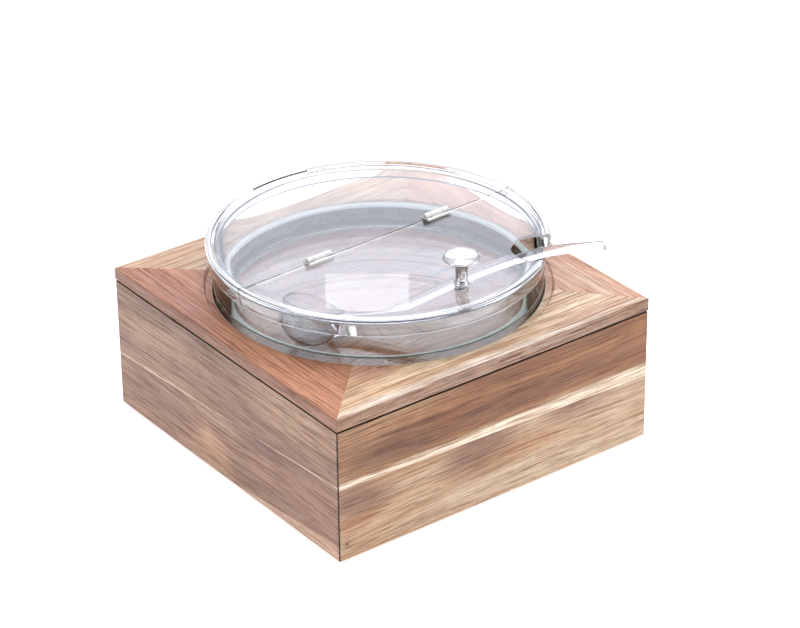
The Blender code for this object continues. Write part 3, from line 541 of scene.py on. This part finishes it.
def rail_woods():
    """The four rails' woods, by side."""
    # Each rail_edges call gets its side's painted shade for the outer face and the colour of the painted
    # highlight round the opening.
    front = wood("rail_front_wood", "x", 21.0, srgb(240, 214, 180), srgb(214, 176, 136), (
        (0.000, -0.163, 0.200, 0.006, srgb(246, 236, 222), 0.8),
        (-0.095, -0.118, 0.030, 0.016, srgb(196, 146, 124), 0.9),
        (0.060, -0.154, 0.060, 0.004, srgb(206, 168, 132), 0.6),
        (0.120, -0.155, 0.050, 0.008, srgb(204, 166, 140), 0.7),
        (0.000, -0.1515, 0.060, 0.004, srgb(228, 188, 152), 0.6)),
        across="y", streak=0.75, pore=0.5, band=120.0, tone=(0.87, 0.88, 0.94),
        edges_and_painted_light=rail_edges("y", -1, (0.42, 0.29, 0.22), srgb(222, 208, 196)))
    left = wood("rail_left_wood", "y", 22.0, srgb(206, 150, 118), srgb(172, 116, 88), (
        (-0.060, -0.156, 0.050, 0.006, srgb(170, 116, 92), 0.3),
        (0.080, -0.154, 0.060, 0.007, srgb(170, 120, 98), 0.8),
        (-0.110, -0.125, 0.030, 0.012, srgb(210, 156, 122), 0.5)),
        across="x", streak=0.5, pore=0.5, band=70.0, tone=(0.88, 0.86, 0.86),
        edges_and_painted_light=rail_edges("x", -1, (0.58, 0.62, 0.66), srgb(214, 190, 176)))
    back = wood("rail_back_wood", "x", 23.0, srgb(236, 206, 170), srgb(208, 170, 132), (
        (-0.120, 0.150, 0.040, 0.008, srgb(226, 186, 146), 0.6),),
        across="y", streak=0.7, pore=0.5, band=120.0, tone=(0.80, 0.80, 0.84),
        edges_and_painted_light=rail_edges("y", 1, (0.55, 0.45, 0.38), srgb(228, 218, 210)))
    right = wood("rail_right_wood", "y", 24.0, srgb(232, 184, 150), srgb(208, 152, 118), (
        (-0.100, 0.140, 0.050, 0.008, srgb(240, 206, 176), 0.7),
        (0.060, 0.150, 0.060, 0.008, srgb(212, 154, 126), 0.6)),
        across="x", streak=0.5, pore=0.4, band=80.0, tone=(0.77, 0.80, 0.86),
        edges_and_painted_light=rail_edges("x", 1, (0.55, 0.50, 0.45), srgb(228, 218, 210)))
    return {"front": front, "right": right, "back": back, "left": left}


def build_rails():
    """Four rails: a gentle hip towards the dish, a turned ring and a rounded opening edge."""
    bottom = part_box("frame_rail_front")[0].z
    ring = 0.1496
    rise = 0.05
    edge_top = z(0.1368)
    ring_top = edge_top + 0.0008
    ring_lip = 0.0002
    ring_slope = 2.2 / 3.0
    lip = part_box("front_board_upper")[1].z + 0.0012
    lip_arris = 0.0007
    arris = 0.0010
    outer_arris = 0.0011
    rebate = HALF - 0.0160
    mitre_gap = 0.00007
    crown_steps = 6
    columns = 72

    def crown(radius, share):
        """Height of the hip at a radius; share is the cosine of the angle off the rail's middle."""
        return edge_top + rise * (HALF - radius * share)

    def station(turn):
        """Closed section of the front rail at an angle off its middle, as (radius, height)."""
        share = math.cos(turn)
        edge = HALF / share
        top = crown(ring, share)
        flat = min(ring_top, top)
        meet = ring
        if top > ring_top:
            meet = (edge_top + rise * HALF - ring_top + ring_slope * ring) / (ring_slope + rise * share)
        foot = max(meet, ring + ring_lip)
        points = [(OPENING, bottom)]
        points += arc(OPENING + arris, flat - arris, arris, 180, 90, 8)
        points += [(ring - ring_lip, flat), (ring, flat), (foot, crown(foot, share))]
        for step in range(1, crown_steps):
            radius = meet + (edge - outer_arris / share - meet) * step / crown_steps
            points.append((radius, crown(radius, share)))
        outer = HALF - outer_arris
        for depth, height in arc(outer, edge_top + rise * outer_arris - outer_arris, outer_arris, 88, 0, 5):
            points.append((depth / share, height))
        for depth, height in arc(HALF - lip_arris, lip + lip_arris, lip_arris, 0, -90, 3):
            points.append((depth / share, height))
        points += [(rebate / share, lip), (rebate / share, bottom)]
        return points

    for quarter, (side, material) in enumerate(rail_woods().items()):
        builder = bmesh.new()
        loops = []
        for step in range(columns + 1):
            turn = math.pi / 4 * (2 * step / columns - 1)
            loop = []
            for radius, height in station(turn):
                y = -radius * math.cos(turn)
                x = radius * math.sin(turn) * (1 - mitre_gap / abs(y))
                loop.append((x, y, height))
            loops.append(loop)
        strip(builder, loops)
        spin = Matrix.Rotation(math.pi / 2 * quarter, 3, "Z")
        bmesh.ops.rotate(builder, verts=builder.verts, cent=(0, 0, 0), matrix=spin)
        rail = new_object(f"rail_{side}", builder, material, 28.0)
        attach(rail, "top_frame")
        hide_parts(f"frame_rail_{side}")
    key = wood("key_wood", "x", 31.0, srgb(232, 200, 156), srgb(206, 168, 124), streak=0.3, pore=0.2,
               across="y")
    for end in ("front", "back"):
        for hand in ("left", "right"):
            paint(f"mitre_key_{end}_{hand}", key)


# ---------------------------------------------------------------- glass, acrylic, metal, rubber

GLASS_WAVE = 0.00001
BRUSHED_RELIEF = 0.000006
POLISHED_RELIEF = 0.000002


def clear(name, tint, ior, roughness, absorption, density, haze=0.02, clearness=1.0):
    """Clear material with faint smears and a slightly wavy surface; clearness below 1 makes it milky."""
    graph = Graph(name)
    x, y, height = graph.position()
    point = graph.vector(x, y, height)
    smear = graph.noise(point, 28.0, 4.0, 0.6)
    speck = graph.noise(point, 900.0, 1.0)
    smeared = (*(0.985 * channel for channel in tint[:3]), 1.0)
    graph.set(Base_Color=graph.mix(graph.remap(smear, 0.4, 0.7), tint, smeared))
    marks = graph.add(graph.remap(smear, 0.55, 0.75, roughness, roughness + haze),
                      graph.remap(speck, 0.78, 0.84, 0.0, 0.05))
    graph.set(Roughness=marks, IOR=ior, Transmission_Weight=clearness)
    graph.bump(graph.noise(point, 14.0, 2.0), GLASS_WAVE)
    graph.absorb(absorption, density)
    return graph.material


def metal(name, base, roughness, brushed=None, scratches=0.3):
    """Metal with fine scratches, smears and, if brushed, long parallel lines along an axis."""
    graph = Graph(name)
    axes = dict(zip("xyz", graph.position()))
    point = graph.vector(axes["x"], axes["y"], axes["z"])
    smear = graph.noise(point, 22.0, 4.0, 0.6)
    if brushed:
        scales = {axis: 2600.0 for axis in "xyz"}
        scales[brushed] = 14.0
        stretched = graph.vector(*(graph.scale(axes[axis], scales[axis]) for axis in "xyz"))
        grainy = graph.noise(stretched, detail=3.0)
    else:
        grainy = graph.noise(point, 2400.0, 2.0)
    darker = (*(0.92 * channel for channel in base[:3]), 1.0)
    tone = graph.add(graph.scale(smear, 0.5), graph.scale(grainy, 0.5))
    graph.set(Base_Color=graph.mix(graph.remap(tone, 0.35, 0.65), base, darker))
    graph.set(Metallic=1.0)
    graph.set(Roughness=graph.remap(tone, 0.35, 0.65, roughness, roughness * (1 + scratches)))
    graph.bump(grainy, BRUSHED_RELIEF if brushed else POLISHED_RELIEF, 0.5)
    return graph.material


def build_dish(glass, step_highlight_glass):
    """Thick glass dish: polished rim, rounded foot, and a rounded step inside with milky faces, a painted
    highlight for the bright ring that the heel catches.
    """
    low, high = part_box("glass_dish")
    outer = high.x
    wall = 0.0042
    base = 0.0050
    corner = 0.0060
    rim = wall / 2
    inner = outer - wall
    shoulder = z(0.1425)
    shoulder_fillet = 0.0008
    shoulder_round = 0.0025
    low_inner = inner - 0.0045
    highlight_below = 0.0034
    highlight_above = 0.0010
    profile = [(0.0, low.z), (outer - 0.030, low.z)]
    profile += arc(outer - corner, low.z + corner, corner, -90, 0, 10)
    profile += arc(outer - rim, high.z - rim, rim, 0, 180, 14)
    profile += arc(inner - shoulder_fillet, shoulder + shoulder_fillet, shoulder_fillet, 0, -80, 4)[:-1]
    profile += arc(low_inner + shoulder_round, shoulder - shoulder_round, shoulder_round, 88, 180, 9)
    profile += arc(low_inner - corner, low.z + base + corner, corner, 0, -90, 10)
    profile += [(0.0, low.z + base)]
    dish = new_object("dish_glass_bowl", lathe(profile, 256), glass, 40.0)
    dish.data.materials.append(step_highlight_glass)
    # Painted highlight: the step's milky white faces stand in for the bright ring of light at the glass
    # heel.
    for face in dish.data.polygons:
        radius = math.hypot(face.center.x, face.center.y)
        if low_inner < radius < inner and -highlight_below < face.center.z - shoulder < highlight_above:
            face.material_index = 1
    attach(dish, "dish")
    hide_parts("glass_dish")


LID_TURN = math.radians(1.7)
LID_LOW, LID_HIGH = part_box("lid_rear_half")
LID_PANEL_TOP = LID_HIGH.z - 0.0013
LID_STEP = 0.1430
TAB_STEP = 0.1458
TAB_HALF = math.radians(12.0)
SLIT_HALF = 0.0004
NOTCH_TURN = math.radians(-47.8)
NOTCH_REACH = 0.1392
NOTCH_RADIUS = 0.0246
KNOB_REACH = 0.1120
BORE_RADIUS = 0.0023
DISH_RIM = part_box("glass_dish")[1].z


def lid_section(step_radius):
    """Closed section of the lid, with the edge ring's inner step at a given radius."""
    ring_top = LID_HIGH.z
    outer = 0.1485
    skirt = LID_LOW.z
    panel = 0.0024
    under = LID_PANEL_TOP - panel
    corner = 0.0018
    profile = [(0.0, LID_PANEL_TOP), (0.1300, LID_PANEL_TOP), (step_radius - 0.0004, LID_PANEL_TOP),
               (step_radius, LID_PANEL_TOP + 0.0002), (step_radius + 0.0003, ring_top - 0.0002),
               (step_radius + 0.0006, ring_top)]
    profile += arc(outer - corner, ring_top - corner, corner, 90, 0, 8)
    profile += [(outer - 0.0005, ring_top - 0.0060), (0.1462, skirt + 0.0008), (0.1460, skirt + 0.0003),
                (0.1455, skirt), (0.1442, skirt), (0.1438, skirt + 0.0004)]
    profile += [(0.1458, under - 0.0030), (0.1450, under - 0.0008), (0.1440, under)]
    profile += [(0.1420, under), (0.1416, DISH_RIM + 0.0005), (0.1413, DISH_RIM + 0.0003),
                (0.1399, DISH_RIM + 0.0003), (0.1396, DISH_RIM + 0.0005), (0.1394, under)]
    profile += [(0.1300, under), (0.0, under)]
    return profile


def lid_half(name, sense, material, tab):
    """Half of the lid as a swept section, cut at the slit. The tab widens the recess at the back."""
    builder = bmesh.new()
    columns = []
    steps = 150
    for step in range(steps + 1):
        turn = math.pi * step / steps
        columns.append((turn, tab and abs(turn - math.pi / 2) < TAB_HALF))
    if tab:
        for edge in (-TAB_HALF, TAB_HALF):
            for nudge in (-0.0012, 0.0012):
                turn = math.pi / 2 + edge + nudge
                columns.append((turn, abs(turn - math.pi / 2) < TAB_HALF))
        columns.sort()
    loops = []
    for turn, wide in columns:
        section = lid_section(TAB_STEP if wide else LID_STEP)[1:-1]
        loops.append([(radius * math.cos(turn), sense * radius * math.sin(turn), height)
                      for radius, height in section])
    rings = strip(builder, loops, closed_profile=False, cap=False)
    top = builder.verts.new((0.0, 0.0, LID_PANEL_TOP))
    under = builder.verts.new((0.0, 0.0, loops[0][-1][2]))
    for first, second in zip(rings, rings[1:]):
        builder.faces.new((top, first[0], second[0]))
        builder.faces.new((under, first[-1], second[-1]))
    for ring in (rings[0], rings[-1]):
        builder.faces.new([top, *ring, under])
    geometry = list(builder.verts) + list(builder.edges) + list(builder.faces)
    bmesh.ops.bisect_plane(builder, geom=geometry, dist=1e-7, plane_co=(0, sense * SLIT_HALF, 0),
                           plane_no=(0, -sense, 0), clear_outer=True)
    rim = [edge for edge in builder.edges if edge.is_boundary]
    bmesh.ops.contextual_create(builder, geom=rim)
    return new_object(name, builder, material, 30.0)


def rod(name, radius, segments, centre):
    """Upright rod through the lid, as a cutter."""
    low = LID_LOW.z - 0.01
    high = LID_HIGH.z + 0.01
    profile = [(0.0, low), (radius, low), (radius, high), (0.0, high)]
    return new_object(name, lathe(profile, segments, centre))


def build_lid(acrylic, cut_edge, ring, clip, chrome):
    """Both halves with their hinges, the notch and the knob."""
    rear = lid_half("lid_rear", 1, acrylic, True)
    front = lid_half("lid_front", -1, acrylic, False)
    notch = (NOTCH_REACH * math.cos(NOTCH_TURN), NOTCH_REACH * math.sin(NOTCH_TURN))
    cut(front, rod("bite", NOTCH_RADIUS, 96, notch))
    cut(front, rod("bore", BORE_RADIUS, 32, (0.0, -KNOB_REACH)))
    smooth_mesh(front, 30.0)
    front.data.materials.append(cut_edge)
    for face in front.data.polygons:
        offset = math.hypot(face.center.x - notch[0], face.center.y - notch[1])
        if abs(offset - NOTCH_RADIUS) < 0.0004 and abs(face.normal.z) < 0.1:
            face.material_index = 1
    for half in (rear, front):
        half.data.materials.append(ring)
        index = len(half.data.materials) - 1
        for face in half.data.polygons:
            radius = math.hypot(face.center.x, face.center.y)
            top = face.normal.z > 0.9 and radius > LID_STEP + 0.0008
            foot = face.normal.z < -0.3 and face.center.z < LID_LOW.z + 0.0006
            if top or foot:
                face.material_index = index
    turn = Matrix.Rotation(LID_TURN, 4, "Z")
    for piece, body, node in ((rear, "lid", "lid_rear_half"), (front, "lid_flap", "lid_front_flap")):
        piece.data.transform(turn)
        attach(piece, body)
        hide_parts(node)
    for hand in ("left", "right"):
        for leaf in ("rear", "front"):
            name = f"hinge_leaf_{leaf}_{hand}"
            soften = nodes[name].modifiers.new("soften", "BEVEL")
            soften.width = 0.00035
            soften.segments = 2
            soften.limit_method = "ANGLE"
            soften.angle_limit = math.radians(40)
            paint(name, clip)
        paint(f"hinge_pin_{hand}", chrome)
    build_knob(chrome)


def build_knob(chrome):
    """Turned mushroom knob with a beaded collar, polished all over."""
    low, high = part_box("lid_knob")
    base = low.z
    centre = ((low.x + high.x) / 2, (low.y + high.y) / 2)
    head = 0.0160
    equator = base + 0.0262
    profile = [(BORE_RADIUS, base), (0.0056, base), (0.0061, base + 0.0003), (0.0061, base + 0.0009)]
    profile += arc(0.0055, base + 0.0020, 0.0010, -70, 70, 6)
    profile += [(0.0054, base + 0.0032)]
    profile += arc(0.0052, base + 0.0038, 0.0006, -60, 60, 4)
    profile += [(0.0050, base + 0.0050), (0.0050, base + 0.0090), (0.0051, base + 0.0125),
                (0.0054, base + 0.0155), (0.0062, base + 0.0182), (0.0078, base + 0.0202),
                (0.0102, base + 0.0219), (0.0130, base + 0.0235), (0.0149, base + 0.0248)]
    profile += arc(head - 0.0010, equator - 0.0001, 0.0010, -50, 45, 6)
    dome = high.z - equator
    for degrees in (68, 60, 52, 44, 36, 28, 20, 12, 5):
        share = math.sin(math.radians(degrees))
        profile.append(((head - 0.0003) * share, equator + dome * math.cos(math.radians(degrees))))
    profile += [(0.0, equator + dome), (0.0, base + 0.0115), (BORE_RADIUS, base + 0.0105)]
    knob = new_object("knob", lathe(profile, 96, centre), chrome, 50.0)
    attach(knob, "lid_flap")
    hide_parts("lid_knob")
    paint("knob_washer", chrome)
    paint("knob_screw", chrome)


def curve_through(points, steps):
    """Points on a smooth curve through the given ones."""
    first = tuple(2 * a - b for a, b in zip(points[0], points[1]))
    last = tuple(2 * a - b for a, b in zip(points[-1], points[-2]))
    chain = [first, *points, last]
    result = []
    for index in range(1, len(chain) - 2):
        before, start, end, after = chain[index - 1:index + 3]
        for step in range(steps):
            t = step / steps
            result.append(tuple(0.5 * (2 * b + (c - a) * t + (2 * a - 5 * b + 4 * c - d) * t * t
                                       + (3 * b - a - 3 * c + d) * t ** 3)
                                for a, b, c, d in zip(before, start, end, after)))
    result.append(points[-1])
    return result


LADLE_TURN = math.radians(-22.0)
CUP_TILT = math.radians(22.0)
CUP_REACH = -0.2010
CUP_HEIGHT = 0.1493
HANDLE_END = 0.0552
HANDLE_LINE = ((-0.1890, 0.1262), (-0.1780, 0.1269), (-0.1650, 0.1296), (-0.1290, 0.1420),
               (-0.0890, 0.1567), (-0.0600, 0.1664), (-0.0400, 0.1720), (-0.0233, 0.1754),
               (-0.0020, 0.1793), (0.0150, 0.1803), (0.0300, 0.1800), (0.0550, 0.1782))


def rounded_oval(along, height, slope, width, thickness):
    """Section of the ladle's handle, square to the slope: an oval with nearly flat sides."""
    sides = 28
    squareness = 0.42
    loop = []
    for index in range(sides):
        angle = 2 * math.pi * (index + 0.5) / sides
        across = width / 2 * math.copysign(abs(math.cos(angle)) ** squareness, math.cos(angle))
        up = thickness / 2 * math.copysign(abs(math.sin(angle)) ** squareness, math.sin(angle))
        loop.append((along - up * math.sin(slope), across, height + up * math.cos(slope)))
    return loop


def build_handle():
    """The handle along X, through the place where it rests on the rim, with a rounded end."""
    line = [(along, z(height)) for along, height in curve_through(HANDLE_LINE, 8)]
    start = line[0][0]
    length = line[-1][0] - start
    thickness = 0.0052
    narrow = 0.0100
    wide = 0.0130
    loops = []
    for index, (along, height) in enumerate(line):
        before = line[max(index - 1, 0)]
        after = line[min(index + 1, len(line) - 1)]
        slope = math.atan2(after[1] - before[1], after[0] - before[0])
        width = narrow + (wide - narrow) * (along - start) / length
        loops.append(rounded_oval(along, height, slope, width, thickness))
    along, height = line[-1]
    height -= 0.0001
    for further, shrink in ((0.0005, 0.0003), (0.0010, 0.0008), (0.0014, 0.0016), (0.0017, 0.0028)):
        loops.append(rounded_oval(along + further, height, slope, wide - shrink, thickness - shrink))
    builder = bmesh.new()
    strip(builder, loops)
    return new_object("handle", builder)


def build_ladle(acrylic, shaded_side_acrylic):
    """Moulded ladle: a tilted round cup joined to its handle, whose sides and end get painted shade, darker
    than its top.
    """
    handle = build_handle()
    radius = 0.0277
    wall = 0.0022
    lip = 0.0055
    inner_radius = radius - wall

    def place(cup):
        tilt = Matrix.Rotation(CUP_TILT, 3, "Y")
        bmesh.ops.rotate(cup, verts=cup.verts, cent=(0, 0, 0), matrix=tilt)
        bmesh.ops.translate(cup, verts=cup.verts, vec=(CUP_REACH, 0.0, z(CUP_HEIGHT)))
        return cup

    def bowl(size):
        return [(0.0, -size)] + arc(0.0, 0.0, size, -85, 0, 17)

    outer = bowl(radius) + arc(radius - wall / 2, lip - wall / 2, wall / 2, 0, 180, 6)
    inner = bowl(inner_radius)
    ladle = new_object("ladle_body", place(lathe(outer + inner[::-1], 80)), acrylic, 40.0)
    cut(ladle, handle, "UNION")
    hollow = new_object("hollow", place(lathe(inner + [(inner_radius, 0.02), (0.0, 0.02)], 80)))
    cut(ladle, hollow)
    smooth_mesh(ladle, 40.0)
    # Painted shade: the handle's sides and its end get a darker copy of the acrylic.
    flanks = [face.index for face in ladle.data.polygons
              if face.center.x > HANDLE_END or (face.center.x > -0.03 and abs(face.normal.y) > 0.75)]
    rest = Vector(joints["ladle_swing"]["pos_m"])
    ladle.data.transform(Matrix.Translation((rest.x, rest.y, 0.0)) @ Matrix.Rotation(LADLE_TURN, 4, "Z"))
    ladle.data.materials.clear()
    ladle.data.materials.append(acrylic)
    ladle.data.materials.append(shaded_side_acrylic)
    for index in flanks:
        ladle.data.polygons[index].material_index = 1
    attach(ladle, "ladle")
    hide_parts("ladle")


def paint_under_the_dish():
    """Floor board with painted light, lighter than its wood would be, then pan, screws and feet."""
    # Painted light: tone 1 keeps this board lighter than the other woods, for light that the glass dish
    # holds back from it.
    board = wood("floor_board_wood", "x", 41.0, srgb(238, 166, 128), srgb(204, 134, 102), streak=0.5,
                 pore=0.4, across="y", tone=(1.0, 1.0, 1.0))
    paint("floor_board", board)
    paint("ice_pan", metal("pan_steel", srgb(200, 201, 206), 0.26, brushed="x"))
    smooth_mesh(nodes["ice_pan"], 40.0)
    zinc = metal("zinc", srgb(196, 196, 190), 0.32)
    graph = Graph("foot_rubber")
    x, y, height = graph.position()
    grit = graph.noise(graph.vector(x, y, height), 700.0, 3.0)
    dust = graph.noise(graph.vector(x, y, height), 90.0, 3.0)
    graph.set(Base_Color=graph.mix(graph.remap(dust, 0.4, 0.7), srgb(28, 28, 28), srgb(52, 51, 49)))
    graph.set(Roughness=graph.remap(grit, 0.3, 0.7, 0.7, 0.95))
    graph.bump(grit, 0.0001, 0.6)
    for end in ("front", "back"):
        for hand in ("left", "right"):
            paint(f"base_screw_{end}_{hand}", zinc)
            paint(f"foot_pad_{end}_{hand}", graph.material)


# ---------------------------------------------------------------- stage, light and camera

def build_stage():
    """Pale floor that glows a little, so that only a faint shadow shows."""
    builder = bmesh.new()
    bmesh.ops.create_grid(builder, x_segments=8, y_segments=8, size=6.0)
    floor = new_object("floor", builder)
    graph = Graph("floor_paper")
    x, y = graph.position()[:2]
    fleck = graph.noise(graph.vector(x, y, 0.0), 40.0, 3.0)
    graph.set(Base_Color=graph.mix(fleck, srgb(250, 250, 250), srgb(246, 246, 247)))
    graph.set(Roughness=0.95, Specular_IOR_Level=0.0)
    graph.set(Emission_Color=(1.0, 1.0, 1.0, 1.0), Emission_Strength=0.55)
    floor.data.materials.append(graph.material)


def build_world():
    """White studio: grey low down, brightest overhead, a window behind and a dark patch in front."""
    world = bpy.data.worlds.new("studio")
    bpy.context.scene.world = world
    world.use_nodes = True
    tree = world.node_tree
    background = tree.nodes["Background"]
    source = tree.nodes.new("ShaderNodeTexCoord")

    def facing(direction, wide, narrow):
        """1 within the narrow angle of a direction, fading to 0 at the wide one."""
        dot = tree.nodes.new("ShaderNodeVectorMath")
        dot.operation = "DOT_PRODUCT"
        tree.links.new(source.outputs["Generated"], dot.inputs[0])
        dot.inputs[1].default_value = Vector(direction).normalized()
        remap = tree.nodes.new("ShaderNodeMapRange")
        remap.interpolation_type = "SMOOTHSTEP"
        remap.inputs[1].default_value = math.cos(math.radians(wide))
        remap.inputs[2].default_value = math.cos(math.radians(narrow))
        tree.links.new(dot.outputs["Value"], remap.inputs[0])
        return remap.outputs[0]

    def mix(factor, a, b):
        node = tree.nodes.new("ShaderNodeMix")
        node.data_type = "RGBA"
        tree.links.new(factor, node.inputs[0])
        for index, value in ((6, a), (7, b)):
            if isinstance(value, bpy.types.NodeSocket):
                tree.links.new(value, node.inputs[index])
            else:
                node.inputs[index].default_value = (*value, 1.0)
        return node.outputs[2]

    up = (0, 0, 1)
    behind = (0.52, 0.70, 0.48)
    in_front = (-0.56, -0.78, 0.30)
    ground = (0.35, 0.34, 0.34)
    wall = (1.0, 1.0, 1.01)
    ceiling = (1.45, 1.45, 1.45)
    window = (2.65, 2.78, 3.20)
    dark = (0.05, 0.05, 0.05)
    colour = mix(facing(up, 89, 72), ground, wall)
    colour = mix(facing(up, 66, 20), colour, ceiling)
    colour = mix(facing(behind, 30, 14), colour, window)
    colour = mix(facing(in_front, 34, 24), colour, dark)
    tree.links.new(colour, background.inputs["Color"])
    background.inputs["Strength"].default_value = 0.80


def area_light(name, location, target, size, energy, colour=(1.0, 1.0, 1.0)):
    """A soft box aimed at a point."""
    data = bpy.data.lights.new(name, "AREA")
    data.shape = "RECTANGLE"
    data.size, data.size_y = size
    data.energy = energy
    data.color = colour
    light = bpy.data.objects.new(name, data)
    light.location = location
    light.rotation_euler = (Vector(target) - Vector(location)).to_track_quat("-Z", "Y").to_euler()
    bpy.context.scene.collection.objects.link(light)


def build_lights():
    """A wide overhead box, two side boxes, and a small window that mirrors in the lid."""
    area_light("top_box", (0.1, -0.2, 1.8), (0, 0, 0.1), (1.6, 1.6), 19.0, (1.0, 0.99, 0.98))
    area_light("right_box", (1.6, -1.5, 1.1), (0, 0, 0.05), (1.2, 1.0), 13.0, (1.0, 0.985, 0.96))
    area_light("left_box", (-2.0, 0.1, 1.0), (0, 0, 0.05), (1.0, 1.0), 9.5, (0.97, 0.985, 1.0))
    area_light("window", (1.313, 1.825, 1.475), (0, 0, 0.18), (0.14, 0.085), 0.045)


def build_camera():
    """The viewpoint: from the front left, 29 degrees above the horizon."""
    data = bpy.data.cameras.new("view")
    data.sensor_width = 36.0
    data.lens = 141.88
    data.clip_start = 0.05
    data.clip_end = 50.0
    camera = bpy.data.objects.new("view", data)
    place = (-1.4154, -1.9318, 1.4369)
    turn = Vector((1.9897527, -0.6721172, 0.3819523))
    rows = Quaternion(turn.normalized(), turn.length).to_matrix()
    axes = Matrix((rows[0], -rows[1], -rows[2])).transposed()
    camera.matrix_world = Matrix.Translation(place) @ axes.to_4x4()
    bpy.context.scene.collection.objects.link(camera)
    bpy.context.scene.camera = camera


def main():
    """Paint and build every part, then the studio round it."""
    bpy.context.scene.view_settings.view_transform = "Standard"
    paint_box()
    build_rails()
    glass = clear("dish_glass_clear", (0.97, 0.99, 0.985, 1.0), 1.50, 0.0, srgb(112, 184, 180), 22.0)
    acrylic = clear("lid_acrylic", (0.99, 0.99, 0.995, 1.0), 1.49, 0.0, srgb(214, 220, 240), 6.0)
    spoon = clear("ladle_acrylic", (0.96, 0.955, 0.965, 1.0), 1.38, 0.01, srgb(210, 206, 212), 14.0)
    clip = clear("hinge_acrylic", (0.98, 0.98, 0.985, 1.0), 1.45, 0.22, srgb(240, 240, 244), 3.0,
                 haze=0.1, clearness=0.45)
    chrome = metal("polished_chrome", srgb(214, 214, 218), 0.05, scratches=0.8)
    # Painted highlight: milky white glass for the bright ring at the dish's heel.
    step_highlight_glass = clear("step_glass", (0.88, 0.96, 0.96, 1.0), 1.45, 0.3, srgb(150, 205, 200), 10.0,
                    haze=0.1, clearness=0.25)
    build_dish(glass, step_highlight_glass)
    edge = clear("cut_acrylic", (0.90, 0.89, 0.93, 1.0), 1.40, 0.35, srgb(240, 240, 244), 1.0,
                 haze=0.1, clearness=0.35)
    ring = clear("ring_acrylic", (0.97, 0.97, 0.98, 1.0), 1.45, 0.02, srgb(226, 232, 240), 4.0,
                 haze=0.06, clearness=0.6)
    build_lid(acrylic, edge, ring, clip, chrome)
    # Painted shade: a darker copy of the ladle's acrylic for its sides and end.
    shaded_side_acrylic = clear("ladle_shaded_side", (0.74, 0.70, 0.71, 1.0), 1.40, 0.03, srgb(190, 184, 190), 30.0)
    build_ladle(spoon, shaded_side_acrylic)
    paint_under_the_dish()
    build_stage()
    build_world()
    build_lights()
    build_camera()


main()
